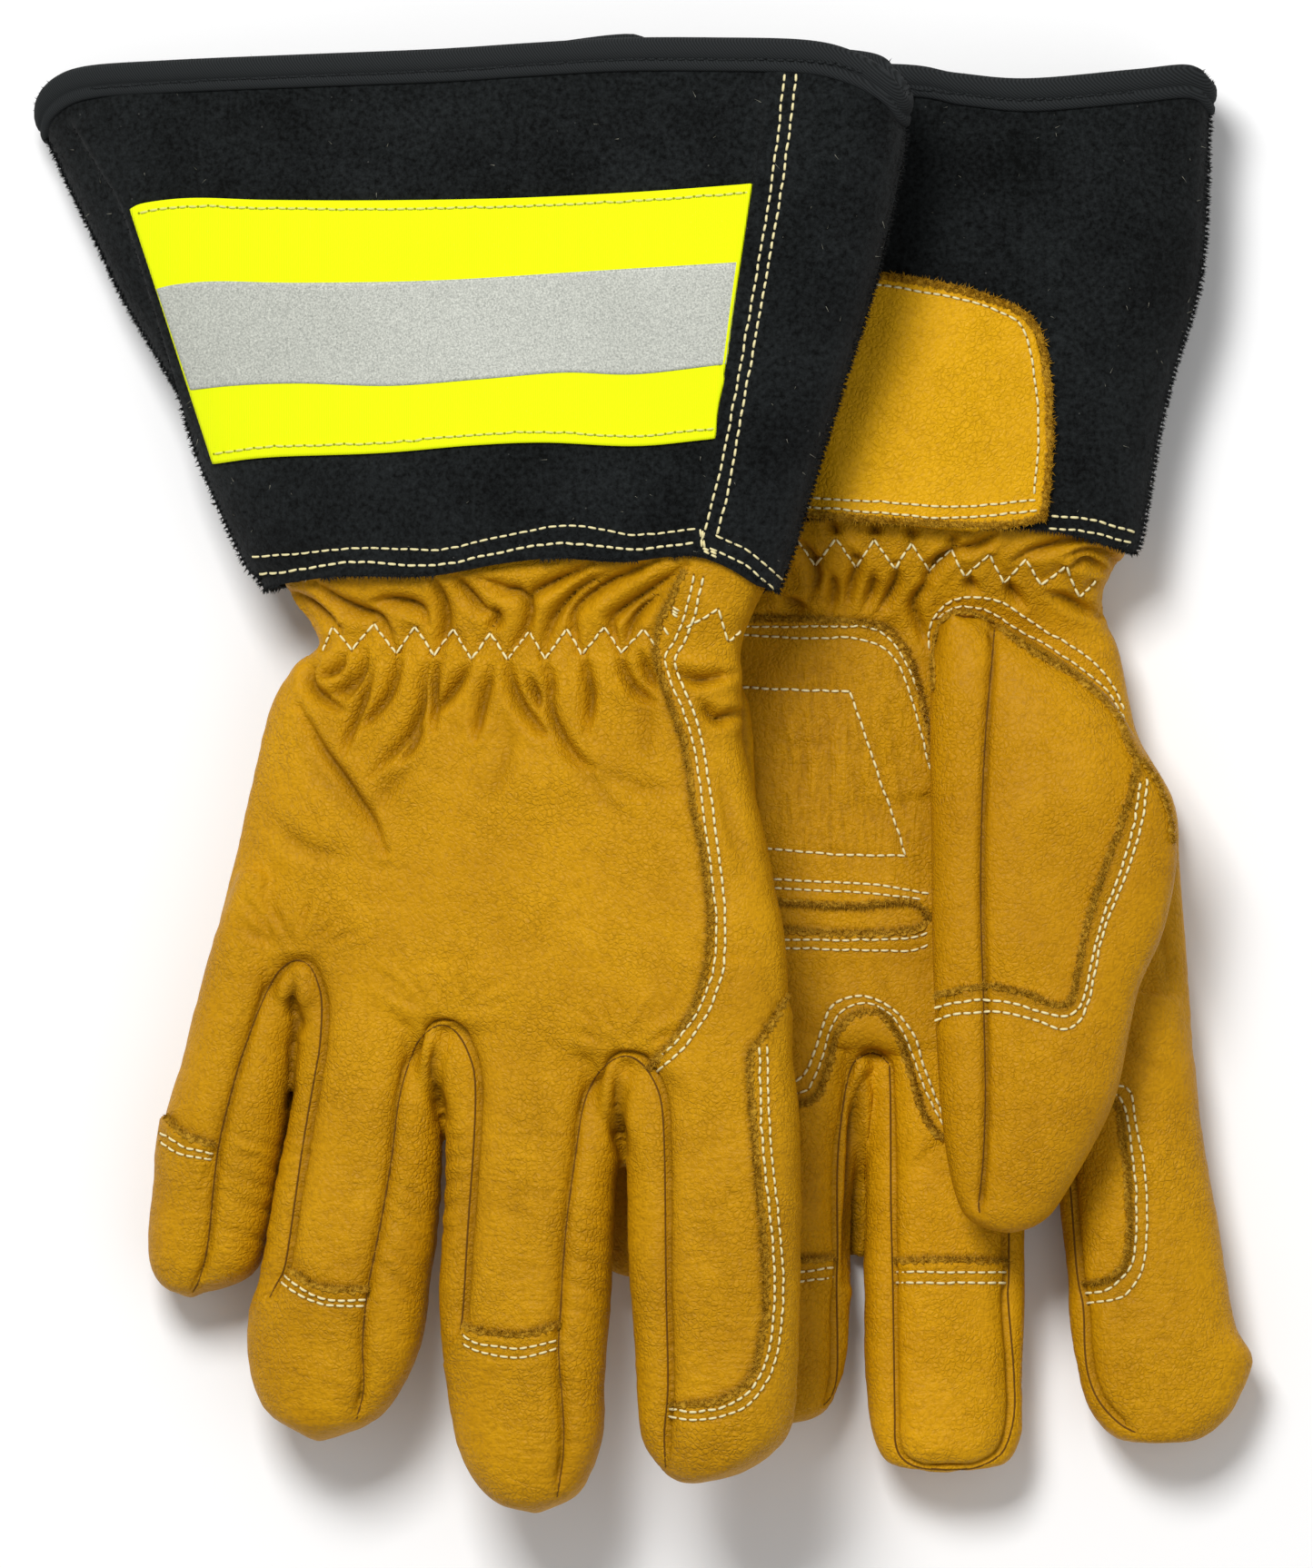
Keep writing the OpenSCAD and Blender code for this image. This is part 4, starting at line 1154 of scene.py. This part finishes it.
def cutFingers(obj, fingers, side):
    mesh = obj.data
    keep = mesh.attributes.new("skinNormal", "FLOAT_VECTOR", "POINT")
    keep.data.foreach_set("vector", normals(obj).reshape(-1).astype(np.float32))
    owner = fingerOf(fetch(mesh.polygons, "center")[:, :2], fingers)
    mesh.materials.clear()
    for label in range(5):
        mesh.materials.append(bpy.data.materials.new("cut" + str(label)))
    mesh.polygons.foreach_set("material_index", owner)
    only(obj)
    bpy.ops.object.mode_set(mode="EDIT")
    bpy.ops.mesh.select_all(action="SELECT")
    bpy.ops.mesh.separate(type="MATERIAL")
    bpy.ops.object.mode_set(mode="OBJECT")
    parts = {}
    for part in list(bpy.context.selected_objects):
        label = np.bincount(fingerOf(coords(part)[:, :2], fingers), minlength=5).argmax()
        name = (["hand"] + list(fingers))[label]
        if label:
            closeSides(part)
        held = fetch(part.data.attributes["skinNormal"].data, "vector")
        part.data.normals_split_custom_set_from_vertices(held.tolist())
        part.data.attributes.remove(part.data.attributes["skinNormal"])
        part.name = part.data.name = side + name.title() + "Leather"
        parts[name] = part
    for label in range(5):
        bpy.data.materials.remove(bpy.data.materials["cut" + str(label)])
    return parts


rightParts = cutFingers(rightSkin, rightFingers, "right")
leftParts = cutFingers(leftSkin, leftFingers, "left")
print("fingers cut", {n: len(p.data.polygons) for n, p in rightParts.items()})

# Thread, raw edges and fuzz are many small meshes, so their points are worked out together

sewn = {}
fuzzed = {}
thread = {"pitch": 2.0 * mm, "gap": 0.42 * mm, "thick": 0.245 * mm, "hole": 0.28 * mm, "wander": 0.08 * mm}


def add(bucket, name, points, faces, slot=0):
    g = bucket.setdefault(name, {"points": [], "faces": [], "slots": [], "count": 0})
    points = points.reshape(-1, 3)
    g["points"].append(points)
    g["faces"] += (faces + g["count"]).tolist()
    g["slots"] += [slot] * len(faces)
    g["count"] += len(points)


def build(bucket, name):
    g = bucket[name]
    mesh = bpy.data.meshes.new(name)
    mesh.from_pydata(np.vstack(g["points"]).tolist(), [], g["faces"])
    mesh.polygons.foreach_set("material_index", g["slots"])
    obj = bpy.data.objects.new(name, mesh)
    bpy.context.collection.objects.link(obj)
    if bucket is sewn:
        only(obj)
        bpy.ops.object.shade_smooth()
    return obj


def owners(place, xy, fingers):
    # the mesh that each plan point belongs to
    if not fingers:
        return [place] * len(xy)
    return [place + (["Hand"] + [f.title() for f in fingers])[i] for i in fingerOf(xy, fingers)]


def spokes(side, up, count):
    turn = np.linspace(0, 2 * math.pi, count + 1)[:-1]
    return side[:, None] * np.cos(turn)[None, :, None] + up[:, None] * np.sin(turn)[None, :, None]


def tubeFaces(rows, cols):
    # faces between rows of points, where each row is a ring
    points = np.arange(rows * cols).reshape(rows, cols)
    after = np.roll(points, -1, axis=1)
    return np.stack([points[:-1], after[:-1], after[1:], points[1:]], -1).reshape(-1, 4)


def capsules(starts, ends, ups, thick):
    # a rounded stitch from each start to each end, with both ends sunk in the leather
    t = np.array([0, 0.14, 0.5, 0.86, 1])[None, :, None]
    lift = np.array([-0.5, 0.6, 1.0, 0.6, -0.5])[None, :, None] * thick
    size = np.array([0.6, 0.95, 1.05, 0.95, 0.6])[None, :, None, None] * thick
    run = ends - starts
    mid = starts[:, None] + run[:, None] * t + ups[:, None] * lift
    return mid[:, :, None] + spokes(unit(np.cross(run, ups)), ups, 6)[:, None] * size


stitchFaces = tubeFaces(5, 6)


def sew(line, place, tree, fingers=None, up=True):
    # a row of stitches along a plan line, with a dark disc at each needle hole as painted shade
    count = max(1, int(round(lengthOf(line) / thread["pitch"])))
    knots = spread(line, count + 1)
    knots = knots + chance.normal(0, thread["wander"], knots.shape)
    run = np.diff(knots, axis=0)
    share = thread["gap"] / 2 / thread["pitch"]
    a, n = drop(tree, knots[:-1] + run * share, up=up)
    b, m = drop(tree, knots[1:] - run * share, up=up)
    holes, k = drop(tree, knots, 0.05 * mm, up=up)
    rods = capsules(a, b, (n + m) / 2, thread["thick"] * chance.uniform(0.9, 1.1))
    east = np.cross(k, [0, 1, 0])
    discs = holes[:, None] + spokes(east, np.cross(k, east), 6) * thread["hole"]
    disc = np.arange(6)[::1 if up else -1][None]
    for i, name in enumerate(owners(place, knots[:-1], fingers)):
        add(sewn, name + "Thread", rods[i], stitchFaces)
        add(sewn, name + "Thread", discs[i], disc, 1)


def sewAll(lines, **where):
    for line in lines:
        sew(path(line, 0.4 * mm), **where)


def zigzag(peaks, **where):
    for pair in steps(peaks):
        sew(plan(pair), **where)


def bristle(name, spots, lean, long, thick):
    # a three-sided spike from each spot
    side = unit(np.cross(lean, [0.3, 0.9, 0.1]))
    other = np.cross(lean, side)
    feet = [spots + side * thick, spots + (other - side * 0.5) * thick, spots - (other + side * 0.5) * thick]
    points = np.stack(feet + [spots + lean * long[:, None]], 1)
    faces = np.array([[0, 1, 3], [1, 2, 3], [2, 0, 3]])
    add(fuzzed, name, points, (faces[None] + 4 * np.arange(len(spots))[:, None, None]).reshape(-1, 3))


rope = {"wide": 0.68 * mm, "high": 0.42 * mm, "fibre": 0.12 * mm, "fibres": 12, "sides": 7}


def rawEdge(pixels, inner, place, tree, fingers=None, up=True):
    # the cut edge of a laid-on piece: an uneven rope of flesh with loose fibres
    line = path(pixels, 0.45 * mm)
    co, n = drop(tree, line, up=up)
    co = np.stack([np.convolve(np.pad(co[:, i], 2, "edge"), np.ones(5) / 5, "valid") for i in range(3)], 1)
    side = np.cross(n, unit(np.gradient(co, axis=0))) * inner
    jag = chance.uniform(0.4, 1.6, (len(co), rope["sides"], 1))
    ring = spokes(side * rope["wide"], n * rope["high"], rope["sides"])
    body = (co + side * 0.15 * mm + n * 0.05 * mm)[:, None] + ring * jag
    owner = owners(place, line, fingers)
    first = 0
    for i in range(1, len(owner) + 1):
        if i < len(owner) and owner[i] == owner[first]:
            continue
        last = min(i + 1, len(owner))
        count = last - first
        name = owner[first] + "RawEdge"
        if count > 2:
            add(fuzzed, name, body[first:last], tubeFaces(count, rope["sides"]))
            picks = chance.integers(first, last, count * rope["fibres"])
            one = (len(picks), 1)
            spots = co[picks] + side[picks] * chance.uniform(-1.0, 0.9, one) * rope["wide"]
            lean = n[picks] * chance.uniform(0.2, 0.9, one) + chance.normal(0, 0.6, (len(picks), 3))
            long = chance.uniform(0.5, 1.5, len(picks)) * mm
            bristle(name, spots + n[picks] * 0.2 * mm, unit(lean), long, rope["fibre"])
        first = i


def edgeAll(pieces, **where):
    for piece in pieces.values():
        rawEdge(piece["edge"], piece["inner"], **where)


shade = {"half": 0.2 * mm, "lift": 0.1 * mm, "leap": 1.5 * mm, "steep": 0.25}


def seamLine(pixels, place, tree, fingers=None):
    # a dark ribbon in the groove where two pieces are sewn together inside out: painted shadow in the seam
    line = path(pixels, 0.5 * mm)[3:-3]
    met = [tree.ray_cast(Vector((x, y, castFrom)), Vector((0, 0, -1)))[1] for x, y in line]
    line = line[[normal is not None and abs(normal.z) > shade["steep"] for normal in met]]
    co, n = drop(tree, line)
    owner = owners(place, line, fingers)
    faces = np.array([[1, 4, 3, 0], [2, 5, 4, 1]])
    for i in range(len(co) - 1):
        run = co[i + 1] - co[i]
        if np.linalg.norm(run) > shade["leap"]:
            continue
        side = unit(np.cross(run, n[i])) * shade["half"]
        row = np.array([-side, n[i] * shade["lift"], side])
        add(fuzzed, owner[i] + "Seam", np.vstack([co[i] + row, co[i + 1] + row]), faces)


def moved(route, x, y):
    return [(px + x, py + y) for px, py in route]


# Where each row lies: its place, the surface under it and the fingers that it may cross
onBack = {"place": "right", "tree": skinTree["right"], "fingers": rightFingers}
onPalm = {"place": "left", "tree": skinTree["left"], "fingers": leftFingers}
onThumb = {"place": "leftThumb", "tree": skinTree["thumb"]}
onCuff = {"place": "rightCuff", "tree": cuffTree["right"]}
onTape = {"place": "rightTape", "tree": treeOf(hivis)}
onPatch = {"place": "leftPatch", "tree": treeOf(pulsePatch)}
underPalm = {**onBack, "up": False}
underBack = {**onPalm, "up": False}
underPatch = {"place": "rightPatch", "tree": treeOf(pulsePatchUnder), "up": False}
underTape = {"place": "leftTape", "tree": treeOf(hivisUnder), "up": False}

sewAll(rightRows, **onBack)
zigzag(rightZig, **onBack)
zigzag(rightZagEnd, **onBack)
zigzag(rightZig, **underPalm)
edgeAll(rightLaid, **onBack)
for line in seams.values():
    seamLine(line, **onBack)
for line in leftSeams.values():
    seamLine(line, **onPalm)
seamLine(thumbSeam, **onThumb)
sewAll([underRight(line) for line in leftRows[:9]], **underPalm)
edgeAll(underPieces, **underPalm)
sewAll(leftRows, **onPalm)
zigzag(leftZig, **onPalm)
zigzag(leftZig, **underBack)
edgeAll(leftLaid, **onPalm)
sewAll(thumbRows[:2], **onPalm)
sewAll(thumbRows[2:], **onThumb)
rawEdge(thumbLaid["edge"], thumbLaid["inner"], **onThumb)
rawEdge(thumbGusset, -1, **onThumb)

# Close bar tacks where rows of stitches end
tacks = {"right": [[(740, 668), (748, 673)], [(739, 671), (747, 677)], [(738, 675), (746, 680)],
                   [(730, 690), (736, 700)]],
         "rightCuff": [[(770, 582), (772, 604)], [(773, 584), (775, 605)], [(772, 604), (790, 611)],
                       [(773, 607), (789, 614)]]}
sewAll(tacks["right"], **onBack)
sewAll(tacks["rightCuff"], **onCuff)

sewAll(cuffRows, **onCuff)
sewAll([moved(tape["top"], 0, 10), moved(tape["low"], 0, -12)], **onTape)
sewAll(pulse["rows"], **onPatch)
sewAll(leftHem, place="leftCuff", tree=cuffTree["left"])
rawEdge(moved(pulse["top"], 0, 2), -1, **onPatch)
rawEdge(moved(pulse["side"], -2, 0), -1, **onPatch)
rawEdge(moved(pulse["low"], 0, -2), 1, **onPatch)

sewAll([moved(pulseUnder["top"], 0, 13)], **underPatch)
sewAll([moved(pulseUnder["low"], 0, -13), moved(pulseUnder["low"], 0, -24)], **underPatch)
rawEdge(moved(pulseUnder["top"], 0, 2), -1, **underPatch)
rawEdge(moved(pulseUnder["low"], 0, -2), 1, **underPatch)
sewAll([moved(tapeUnder["top"], 0, 10), moved(tapeUnder["low"], 0, -12)], **underTape)
for side, band, form in (("right", rightBinding, rightCuffForm), ("left", leftBinding, leftCuffForm)):
    sewAll([moved(form["rim"][2:-2], 0, 21)], place=side + "Binding", tree=treeOf(band))

# Fuzz of the suede along its low edge, on its steep sides and all over, and a little pale lint
nap = {"edge": 0.12 * mm, "steep": 0.4, "sides": 9000, "sideThick": 0.16 * mm}
strewn = (("CuffFuzz", 14000, 1.1 * mm, 0.07 * mm), ("CuffLint", 420, 1.8 * mm, 0.05 * mm))
for side, form in (("right", rightCuffForm), ("left", leftCuffForm)):
    co, n = drop(cuffTree[side], path(form["low"], 0.1 * mm) + (0, 0.4 * mm))
    away = unit(np.array([0, -1, 0.3]) + chance.normal(0, 0.5, co.shape))
    bristle(side + "CuffFuzz", co, away, chance.uniform(0.6, 1.6, len(co)) * mm, nap["edge"])
for side, cuff in (("right", rightCuff), ("left", leftCuff)):
    co, n = coords(cuff), normals(cuff)
    picks = chance.choice(np.nonzero(np.abs(n[:, 2]) < nap["steep"])[0], nap["sides"])
    lean = unit(n[picks] + chance.normal(0, 0.45, (len(picks), 3)))
    bristle(side + "CuffFuzz", co[picks], lean, chance.uniform(0.4, 1.3, len(picks)) * mm, nap["sideThick"])
    for kind, count, long, thick in strewn:
        picks = chance.integers(0, len(co), count)
        lean = unit(n[picks] * 0.4 + chance.normal(0, 0.5, (count, 3)))
        bristle(side + kind, co[picks], lean, chance.uniform(0.3, 1, count) * long, thick)
threads = {name: build(sewn, name) for name in sewn}
fuzz = {name: build(fuzzed, name) for name in fuzzed}
print("sewn", {n: len(o.data.polygons) for n, o in threads.items()})

# Materials


def tie(tree, socket, value):
    if isinstance(value, bpy.types.NodeSocket):
        tree.links.new(value, socket)
    else:
        socket.default_value = value


def node(tree, kind, inputs=None, **props):
    made = tree.nodes.new("ShaderNode" + kind)
    for key, value in props.items():
        setattr(made, key, value)
    for key, value in (inputs or {}).items():
        tie(tree, made.inputs[key], value)
    return made


def calc(tree, kind, *values):
    return node(tree, "Math", dict(enumerate(values)), operation=kind).outputs[0]


def noise(tree, where, scale, detail, **more):
    return node(tree, "TexNoise", {"Vector": where, "Scale": scale, "Detail": detail, **more}).outputs["Fac"]


def cells(tree, where, scale, feature):
    return node(tree, "TexVoronoi", {"Vector": where, "Scale": scale}, feature=feature).outputs["Distance"]


def ramp(tree, value, low, high, least=0.0, most=1.0):
    span = {"Value": value, "From Min": low, "From Max": high, "To Min": least, "To Max": most}
    return node(tree, "MapRange", span).outputs[0]


def mixed(tree, amount, *tones):
    made = node(tree, "Mix", data_type="RGBA")
    for key, value in zip((0, 6, 7), (amount, *tones)):
        tie(tree, made.inputs[key], (*value, 1) if isinstance(value, tuple) else value)
    return made.outputs[2]


def painting(tree, name):
    return node(tree, "Attribute", attribute_name=name).outputs["Fac"]


def fresh(name, **sockets):
    mat = bpy.data.materials.new(name)
    mat.use_nodes = True
    tree = mat.node_tree
    for key, value in sockets.items():
        tree.nodes["Principled BSDF"].inputs[key.replace("_", " ")].default_value = value
    return mat, tree, node(tree, "TexCoord").outputs["Object"]


def wear(tree, tone, height, strength, deep):
    shader = tree.nodes["Principled BSDF"]
    bump = node(tree, "Bump", {"Height": height, "Strength": strength, "Distance": deep})
    tree.links.new(tone, shader.inputs["Base Color"])
    tree.links.new(bump.outputs["Normal"], shader.inputs["Normal"])


# Scales of the grain's parts, and the stretch of the wrinkle lines where the leather is worn or gathered; the
# valleys of these lines get painted shade
hide = {"bend": 400.0, "shift": 0.0014, "pebble": 1300.0, "cracks": 1000.0, "patches": 70.0, "wrinkle": 240.0,
        "fine": 2600.0, "ridge": 900.0, "WornAndShade": (1.0, 0.2, 0.5), "RibsAndShade": (0.2, 1.0, 0.5)}


def grainGroup():
    # a fine pebble, pores and soft wrinkles as one height, with stretched wrinkle lines; it also gives the
    # pores' mask and the painted shade in the lines' valleys
    tree = bpy.data.node_groups.new("leatherGrain", "ShaderNodeTree")
    for way, names in (("INPUT", ("Vector", "WornAndShade", "RibsAndShade")), ("OUTPUT", ("Height", "PoresAndShade", "ValleyShade"))):
        for name in names:
            kind = "NodeSocketVector" if name == "Vector" else "NodeSocketFloat"
            tree.interface.new_socket(name, in_out=way, socket_type=kind)
    enter = tree.nodes.new("NodeGroupInput").outputs
    leave = tree.nodes.new("NodeGroupOutput").inputs
    where = enter["Vector"]
    bend = node(tree, "TexNoise", {"Vector": where, "Scale": hide["bend"], "Detail": 2.0}).outputs["Color"]
    shift = node(tree, "VectorMath", {0: bend, 1: (hide["shift"],) * 3}, operation="MULTIPLY").outputs[0]
    bent = node(tree, "VectorMath", {0: where, 1: shift}, operation="ADD").outputs[0]
    pebble = cells(tree, bent, hide["pebble"], "SMOOTH_F1")
    lines = ramp(tree, cells(tree, bent, hide["cracks"], "DISTANCE_TO_EDGE"), 0.0, 0.22)
    patches = ramp(tree, noise(tree, where, hide["patches"], 2.0), 0.35, 0.7, 0.1, 0.34)
    wrinkle = noise(tree, where, hide["wrinkle"], 3.0, Distortion=0.8)
    fine = noise(tree, where, hide["fine"], 2.0)
    total = calc(tree, "MULTIPLY", lines, patches)
    for layer, share in ((wrinkle, 0.38), (pebble, -0.25), (fine, 0.1)):
        total = calc(tree, "MULTIPLY_ADD", layer, share, total)
    shade = 0.0
    for name in ("WornAndShade", "RibsAndShade"):
        drawn = node(tree, "VectorMath", {0: where, 1: hide[name]}, operation="MULTIPLY").outputs[0]
        ridge = noise(tree, drawn, hide["ridge"], 2.0, Distortion=0.4)
        total = calc(tree, "MULTIPLY_ADD", calc(tree, "MULTIPLY", ridge, enter[name]), 1.1, total)
        # painted shade in the valleys of the wrinkle lines
        shade = calc(tree, "MULTIPLY_ADD", ramp(tree, ridge, 0.56, 0.34, 0.0, 0.26), enter[name], shade)
    for name, value in (("Height", total), ("PoresAndShade", ramp(tree, pebble, 0.35, 0.75)), ("ValleyShade", shade)):
        tree.links.new(value, leave[name])
    return tree


grain = grainGroup()


def leatherLook(name, light, deep, crease):
    mat, tree, where = fresh(name, Roughness=0.48, Specular_IOR_Level=0.11)
    entries = {"Vector": where, "WornAndShade": painting(tree, "wornAndShade"), "RibsAndShade": painting(tree, "ribsAndShade")}
    made = node(tree, "Group", entries, node_tree=grain).outputs
    amount = calc(tree, "MULTIPLY_ADD", noise(tree, where, 38.0, 3.0, Roughness=0.55), 0.6, -0.05)
    amount = calc(tree, "MULTIPLY_ADD", noise(tree, where, 170.0, 4.0, Roughness=0.6), 0.3, amount)
    tone = mixed(tree, ramp(tree, amount, 0.16, 0.64), deep, light)
    # the pores: low places between the grain's pebbles, darkened partly as the grain's own tint and partly as
    # painted shade
    poresAndShade = calc(tree, "MULTIPLY", made["PoresAndShade"], 0.22)
    # painted shade in the creases, grooves and under edges that the sculpting darkened
    folds = calc(tree, "MULTIPLY", painting(tree, "fold"), 0.85)
    for share in (poresAndShade, made["ValleyShade"], folds):
        tone = mixed(tree, share, tone, crease)
    wear(tree, tone, made["Height"], 0.7, 0.8 * mm)
    return mat


def napLook(name, deep, light, speck, size=950.0, sheen=0.06):
    # suede and raw flesh: a short dull nap with paler fibres
    mat, tree, where = fresh(name, Roughness=0.95, Specular_IOR_Level=0.05, Sheen_Weight=sheen,
                             Sheen_Roughness=0.6)
    fibres = noise(tree, where, size, 4.0, Roughness=0.7)
    drift = calc(tree, "MULTIPLY_ADD", noise(tree, where, 55.0, 3.0), 0.4, 0.3)
    share = calc(tree, "MULTIPLY", fibres, drift)
    tone = mixed(tree, ramp(tree, share, 0.17, 0.40), deep, light)
    dots = ramp(tree, cells(tree, where, 210.0, "F1"), 0.045, 0.02)
    wear(tree, mixed(tree, dots, tone, speck), fibres, 0.6, 0.5 * mm)
    return mat


def clothLook(name, deep, light, fine, direction, roughness=0.85, specular=0.12):
    # woven cloth: fine ribs in one direction
    mat, tree, where = fresh(name, Roughness=roughness, Specular_IOR_Level=specular)
    wave = {"Vector": where, "Scale": fine, "Distortion": 0.6, "Detail": 1.0}
    rib = node(tree, "TexWave", wave, bands_direction=direction).outputs["Fac"]
    wear(tree, mixed(tree, rib, deep, light), rib, 0.35, 0.2 * mm)
    return mat


def silverLook(name, deep, light):
    mat, tree, where = fresh(name, Roughness=0.42, Specular_IOR_Level=0.5)
    bead = noise(tree, where, 2600.0, 2.0, Roughness=0.8)
    wear(tree, mixed(tree, ramp(tree, bead, 0.3, 0.72), deep, light), bead, 0.25, 0.1 * mm)
    return mat


def plain(name, colour, roughness=0.8, specular=0.2):
    return fresh(name, Base_Color=(*colour, 1), Roughness=roughness, Specular_IOR_Level=specular)[0]


# each leather's third colour is its crease colour: the pores' tint and the painted shade in creases and
# wrinkle valleys
looks = {
    "leather": leatherLook("goldenLeather", (0.67, 0.335, 0.003), (0.45, 0.204, 0.001), (0.15, 0.06, 0.001)),
    "deepLeather": leatherLook("deepLeather", (0.63, 0.306, 0.002), (0.44, 0.196, 0.001),
                               (0.14, 0.055, 0.001)),
    # a lighter copy of the golden leather: painted light on the left middle finger, which the right glove
    # shades
    "paintedLitLeather": leatherLook("paintedLitLeather", (0.76, 0.385, 0.004), (0.54, 0.252, 0.001),
                                (0.18, 0.072, 0.001)),
    "paleLeather": leatherLook("paleLeather", (0.82, 0.435, 0.004), (0.62, 0.31, 0.002), (0.25, 0.1, 0.001)),
    "flesh": napLook("rawFlesh", (0.27, 0.12, 0.002), (0.64, 0.375, 0.035), (0.66, 0.43, 0.08), 1000.0, 0.0),
    "suede": napLook("blackSuede", (0.001, 0.0013, 0.0012), (0.0175, 0.0205, 0.0212), (0.06, 0.06, 0.055)),
    "twill": clothLook("blackTwill", (0.010, 0.0112, 0.0116), (0.024, 0.0268, 0.028), 820.0, "DIAGONAL"),
    "hivis": clothLook("limeTape", (0.80, 0.90, 0.002), (0.88, 0.98, 0.004), 900.0, "X", 0.7, 0.1),
    "silver": silverLook("silverBead", (0.27, 0.28, 0.25), (0.66, 0.675, 0.60)),
    "knit": clothLook("greyKnit", (0.30, 0.29, 0.27), (0.42, 0.41, 0.38), 260.0, "X"),
    "elastic": clothLook("paleElastic", (0.55, 0.54, 0.5), (0.68, 0.66, 0.62), 200.0, "Y"),
    "thread": plain("creamThread", (0.82, 0.73, 0.40), 0.6),
    "tapeThread": plain("limeThread", (0.70, 0.70, 0.16), 0.6),
    "lint": plain("paleLint", (0.3, 0.29, 0.23), 0.9),
    # dark discs at the needle holes: painted shade
    "tapeHoleShade": plain("limeHoleShade", (0.26, 0.29, 0.002), 0.9),
    "hole": plain("needleHoleShade", (0.24, 0.11, 0.004), 0.9),
    "seam": plain("seamShade", (0.14, 0.06, 0.004), 0.9),
}


def dress(obj, *kinds):
    # clearing would also drop the faces' slots, so a mesh without materials is not cleared
    if obj.data.materials:
        obj.data.materials.clear()
    for kind in kinds:
        obj.data.materials.append(looks[kind])


for o in list(rightParts.values()) + list(leftParts.values()) + [rightThumbSkin]:
    dress(o, "leather")
# painted light: the left middle finger gets the lighter copy of the leather, against the right glove's shade
dress(leftParts["middle"], "paintedLitLeather")
dress(thumbSkin, "deepLeather")
for o in (pulsePatch, pulsePatchUnder):
    dress(o, "paleLeather")
for o in (rightCuff, leftCuff):
    dress(o, "suede")
for o in (rightBinding, leftBinding):
    dress(o, "twill")
for band, stripe in ((hivis, silver), (hivisUnder, silverUnder)):
    dress(band, "hivis")
    dress(stripe, "silver")
for knit, band in innards.values():
    dress(knit, "knit")
    dress(band, "elastic")
# the discs at the needle holes are painted shade: darker lime on the tape and dark brown on the leather; on
# the cuffs and binding they take the suede
for name, o in threads.items():
    if "Tape" in name:
        dress(o, "tapeThread", "tapeHoleShade")
    elif "Binding" in name:
        dress(o, "twill", "suede")
    else:
        dress(o, "thread", "suede" if "Cuff" in name else "hole")
# the seam ribbons take the painted seam shadow
for name, o in fuzz.items():
    dress(o, {"Fuzz": "suede", "Lint": "lint", "Seam": "seam"}.get(name[-4:], "flesh"))


def follow(obj, name):
    for f in rightFingers:
        if name.startswith("right" + f.title()):
            x, _, z = joints["right_" + f + "_bend"]["pos_m"]
            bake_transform(obj)
            return
    if name.startswith("leftThumb"):
        x, _, z = joints["left_thumb_bend"]["pos_m"]
        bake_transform(obj)
    else:
        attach(obj, "right_hand" if name.startswith("right") else "left_hand")


for side, parts, cuff, hemmed in (("right", rightParts, rightCuff, rightBinding),
                                  ("left", leftParts, leftCuff, leftBinding)):
    for name, part in parts.items():
        follow(part, side + name.title())
        if name == "hand":
            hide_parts(side + "_back_panel", side + "_palm_panel", side + "_palm_patch")
        else:
            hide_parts(*[side + "_" + name + p for p in ("_back", "_palm", "_sides", "_tip")])
    knit, band = innards[side]
    for piece in (cuff, hemmed, knit, band):
        follow(piece, side)
    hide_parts(side + "_cuff_back", side + "_cuff_palm")
    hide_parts(side + "_cuff_binding")
    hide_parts(side + "_lining")
    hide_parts(side + "_wrist_elastic")
for side, band, stripe, patch in (("right", hivis, silver, pulsePatchUnder),
                                  ("left", hivisUnder, silverUnder, pulsePatch)):
    for piece, stem in ((band, "_hivis_tape"), (stripe, "_reflective_strip"), (patch, "_pulse_patch")):
        follow(piece, side)
        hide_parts(side + stem)
follow(thumbSkin, "leftThumb")
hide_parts("left_thumb_front", "left_thumb_back")
follow(rightThumbSkin, "right")
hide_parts("right_thumb_front", "right_thumb_back")
for name, o in list(threads.items()) + list(fuzz.items()):
    follow(o, name)
print("dressed")

# Camera, light and floor
camera = {"far": 8.0, "over": 0.03, "sensor": 36, "clip": 20}
floorSpec = {"size": 6, "under": 0.3 * mm}
sky = 0.31
lamps = {"keySoft": {"power": 34, "size": 0.7, "place": (-0.45, 0.95, 1.7)},
         "fillSoft": {"power": 5, "size": 1.8, "place": (0.9, -0.5, 1.5)}}


def stageSet():
    high = photo["high"] * photo["pixel"]
    centre = plan([(photo["wide"] / 2, photo["high"] / 2)])[0]
    bpy.ops.object.camera_add(location=(*centre, camera["far"] + camera["over"]), rotation=(0, 0, 0))
    cam = bpy.context.object
    cam.data.sensor_width = camera["sensor"]
    cam.data.lens = camera["sensor"] * camera["far"] / high
    cam.data.clip_end = camera["clip"]
    bpy.context.scene.camera = cam
    bpy.ops.mesh.primitive_plane_add(size=floorSpec["size"], location=(0, 0, -floorSpec["under"]))
    floor = bpy.context.object
    floor.name = "floor"
    floor.data.materials.append(plain("floorPaper", (0.98, 0.98, 0.98), 0.9, 0.0))
    for name, spec in lamps.items():
        bpy.ops.object.light_add(type="AREA", location=spec["place"])
        lamp = bpy.context.object
        lamp.name = name
        lamp.data.energy = spec["power"]
        lamp.data.size = spec["size"]
        lamp.rotation_euler = (-Vector(spec["place"])).to_track_quat("-Z", "Y").to_euler()
    world = bpy.data.worlds.new("studio")
    bpy.context.scene.world = world
    world.use_nodes = True
    backdrop = world.node_tree.nodes["Background"].inputs
    backdrop["Color"].default_value = (1, 1, 1, 1)
    backdrop["Strength"].default_value = sky


stageSet()
bpy.context.scene.view_settings.view_transform = "Standard"
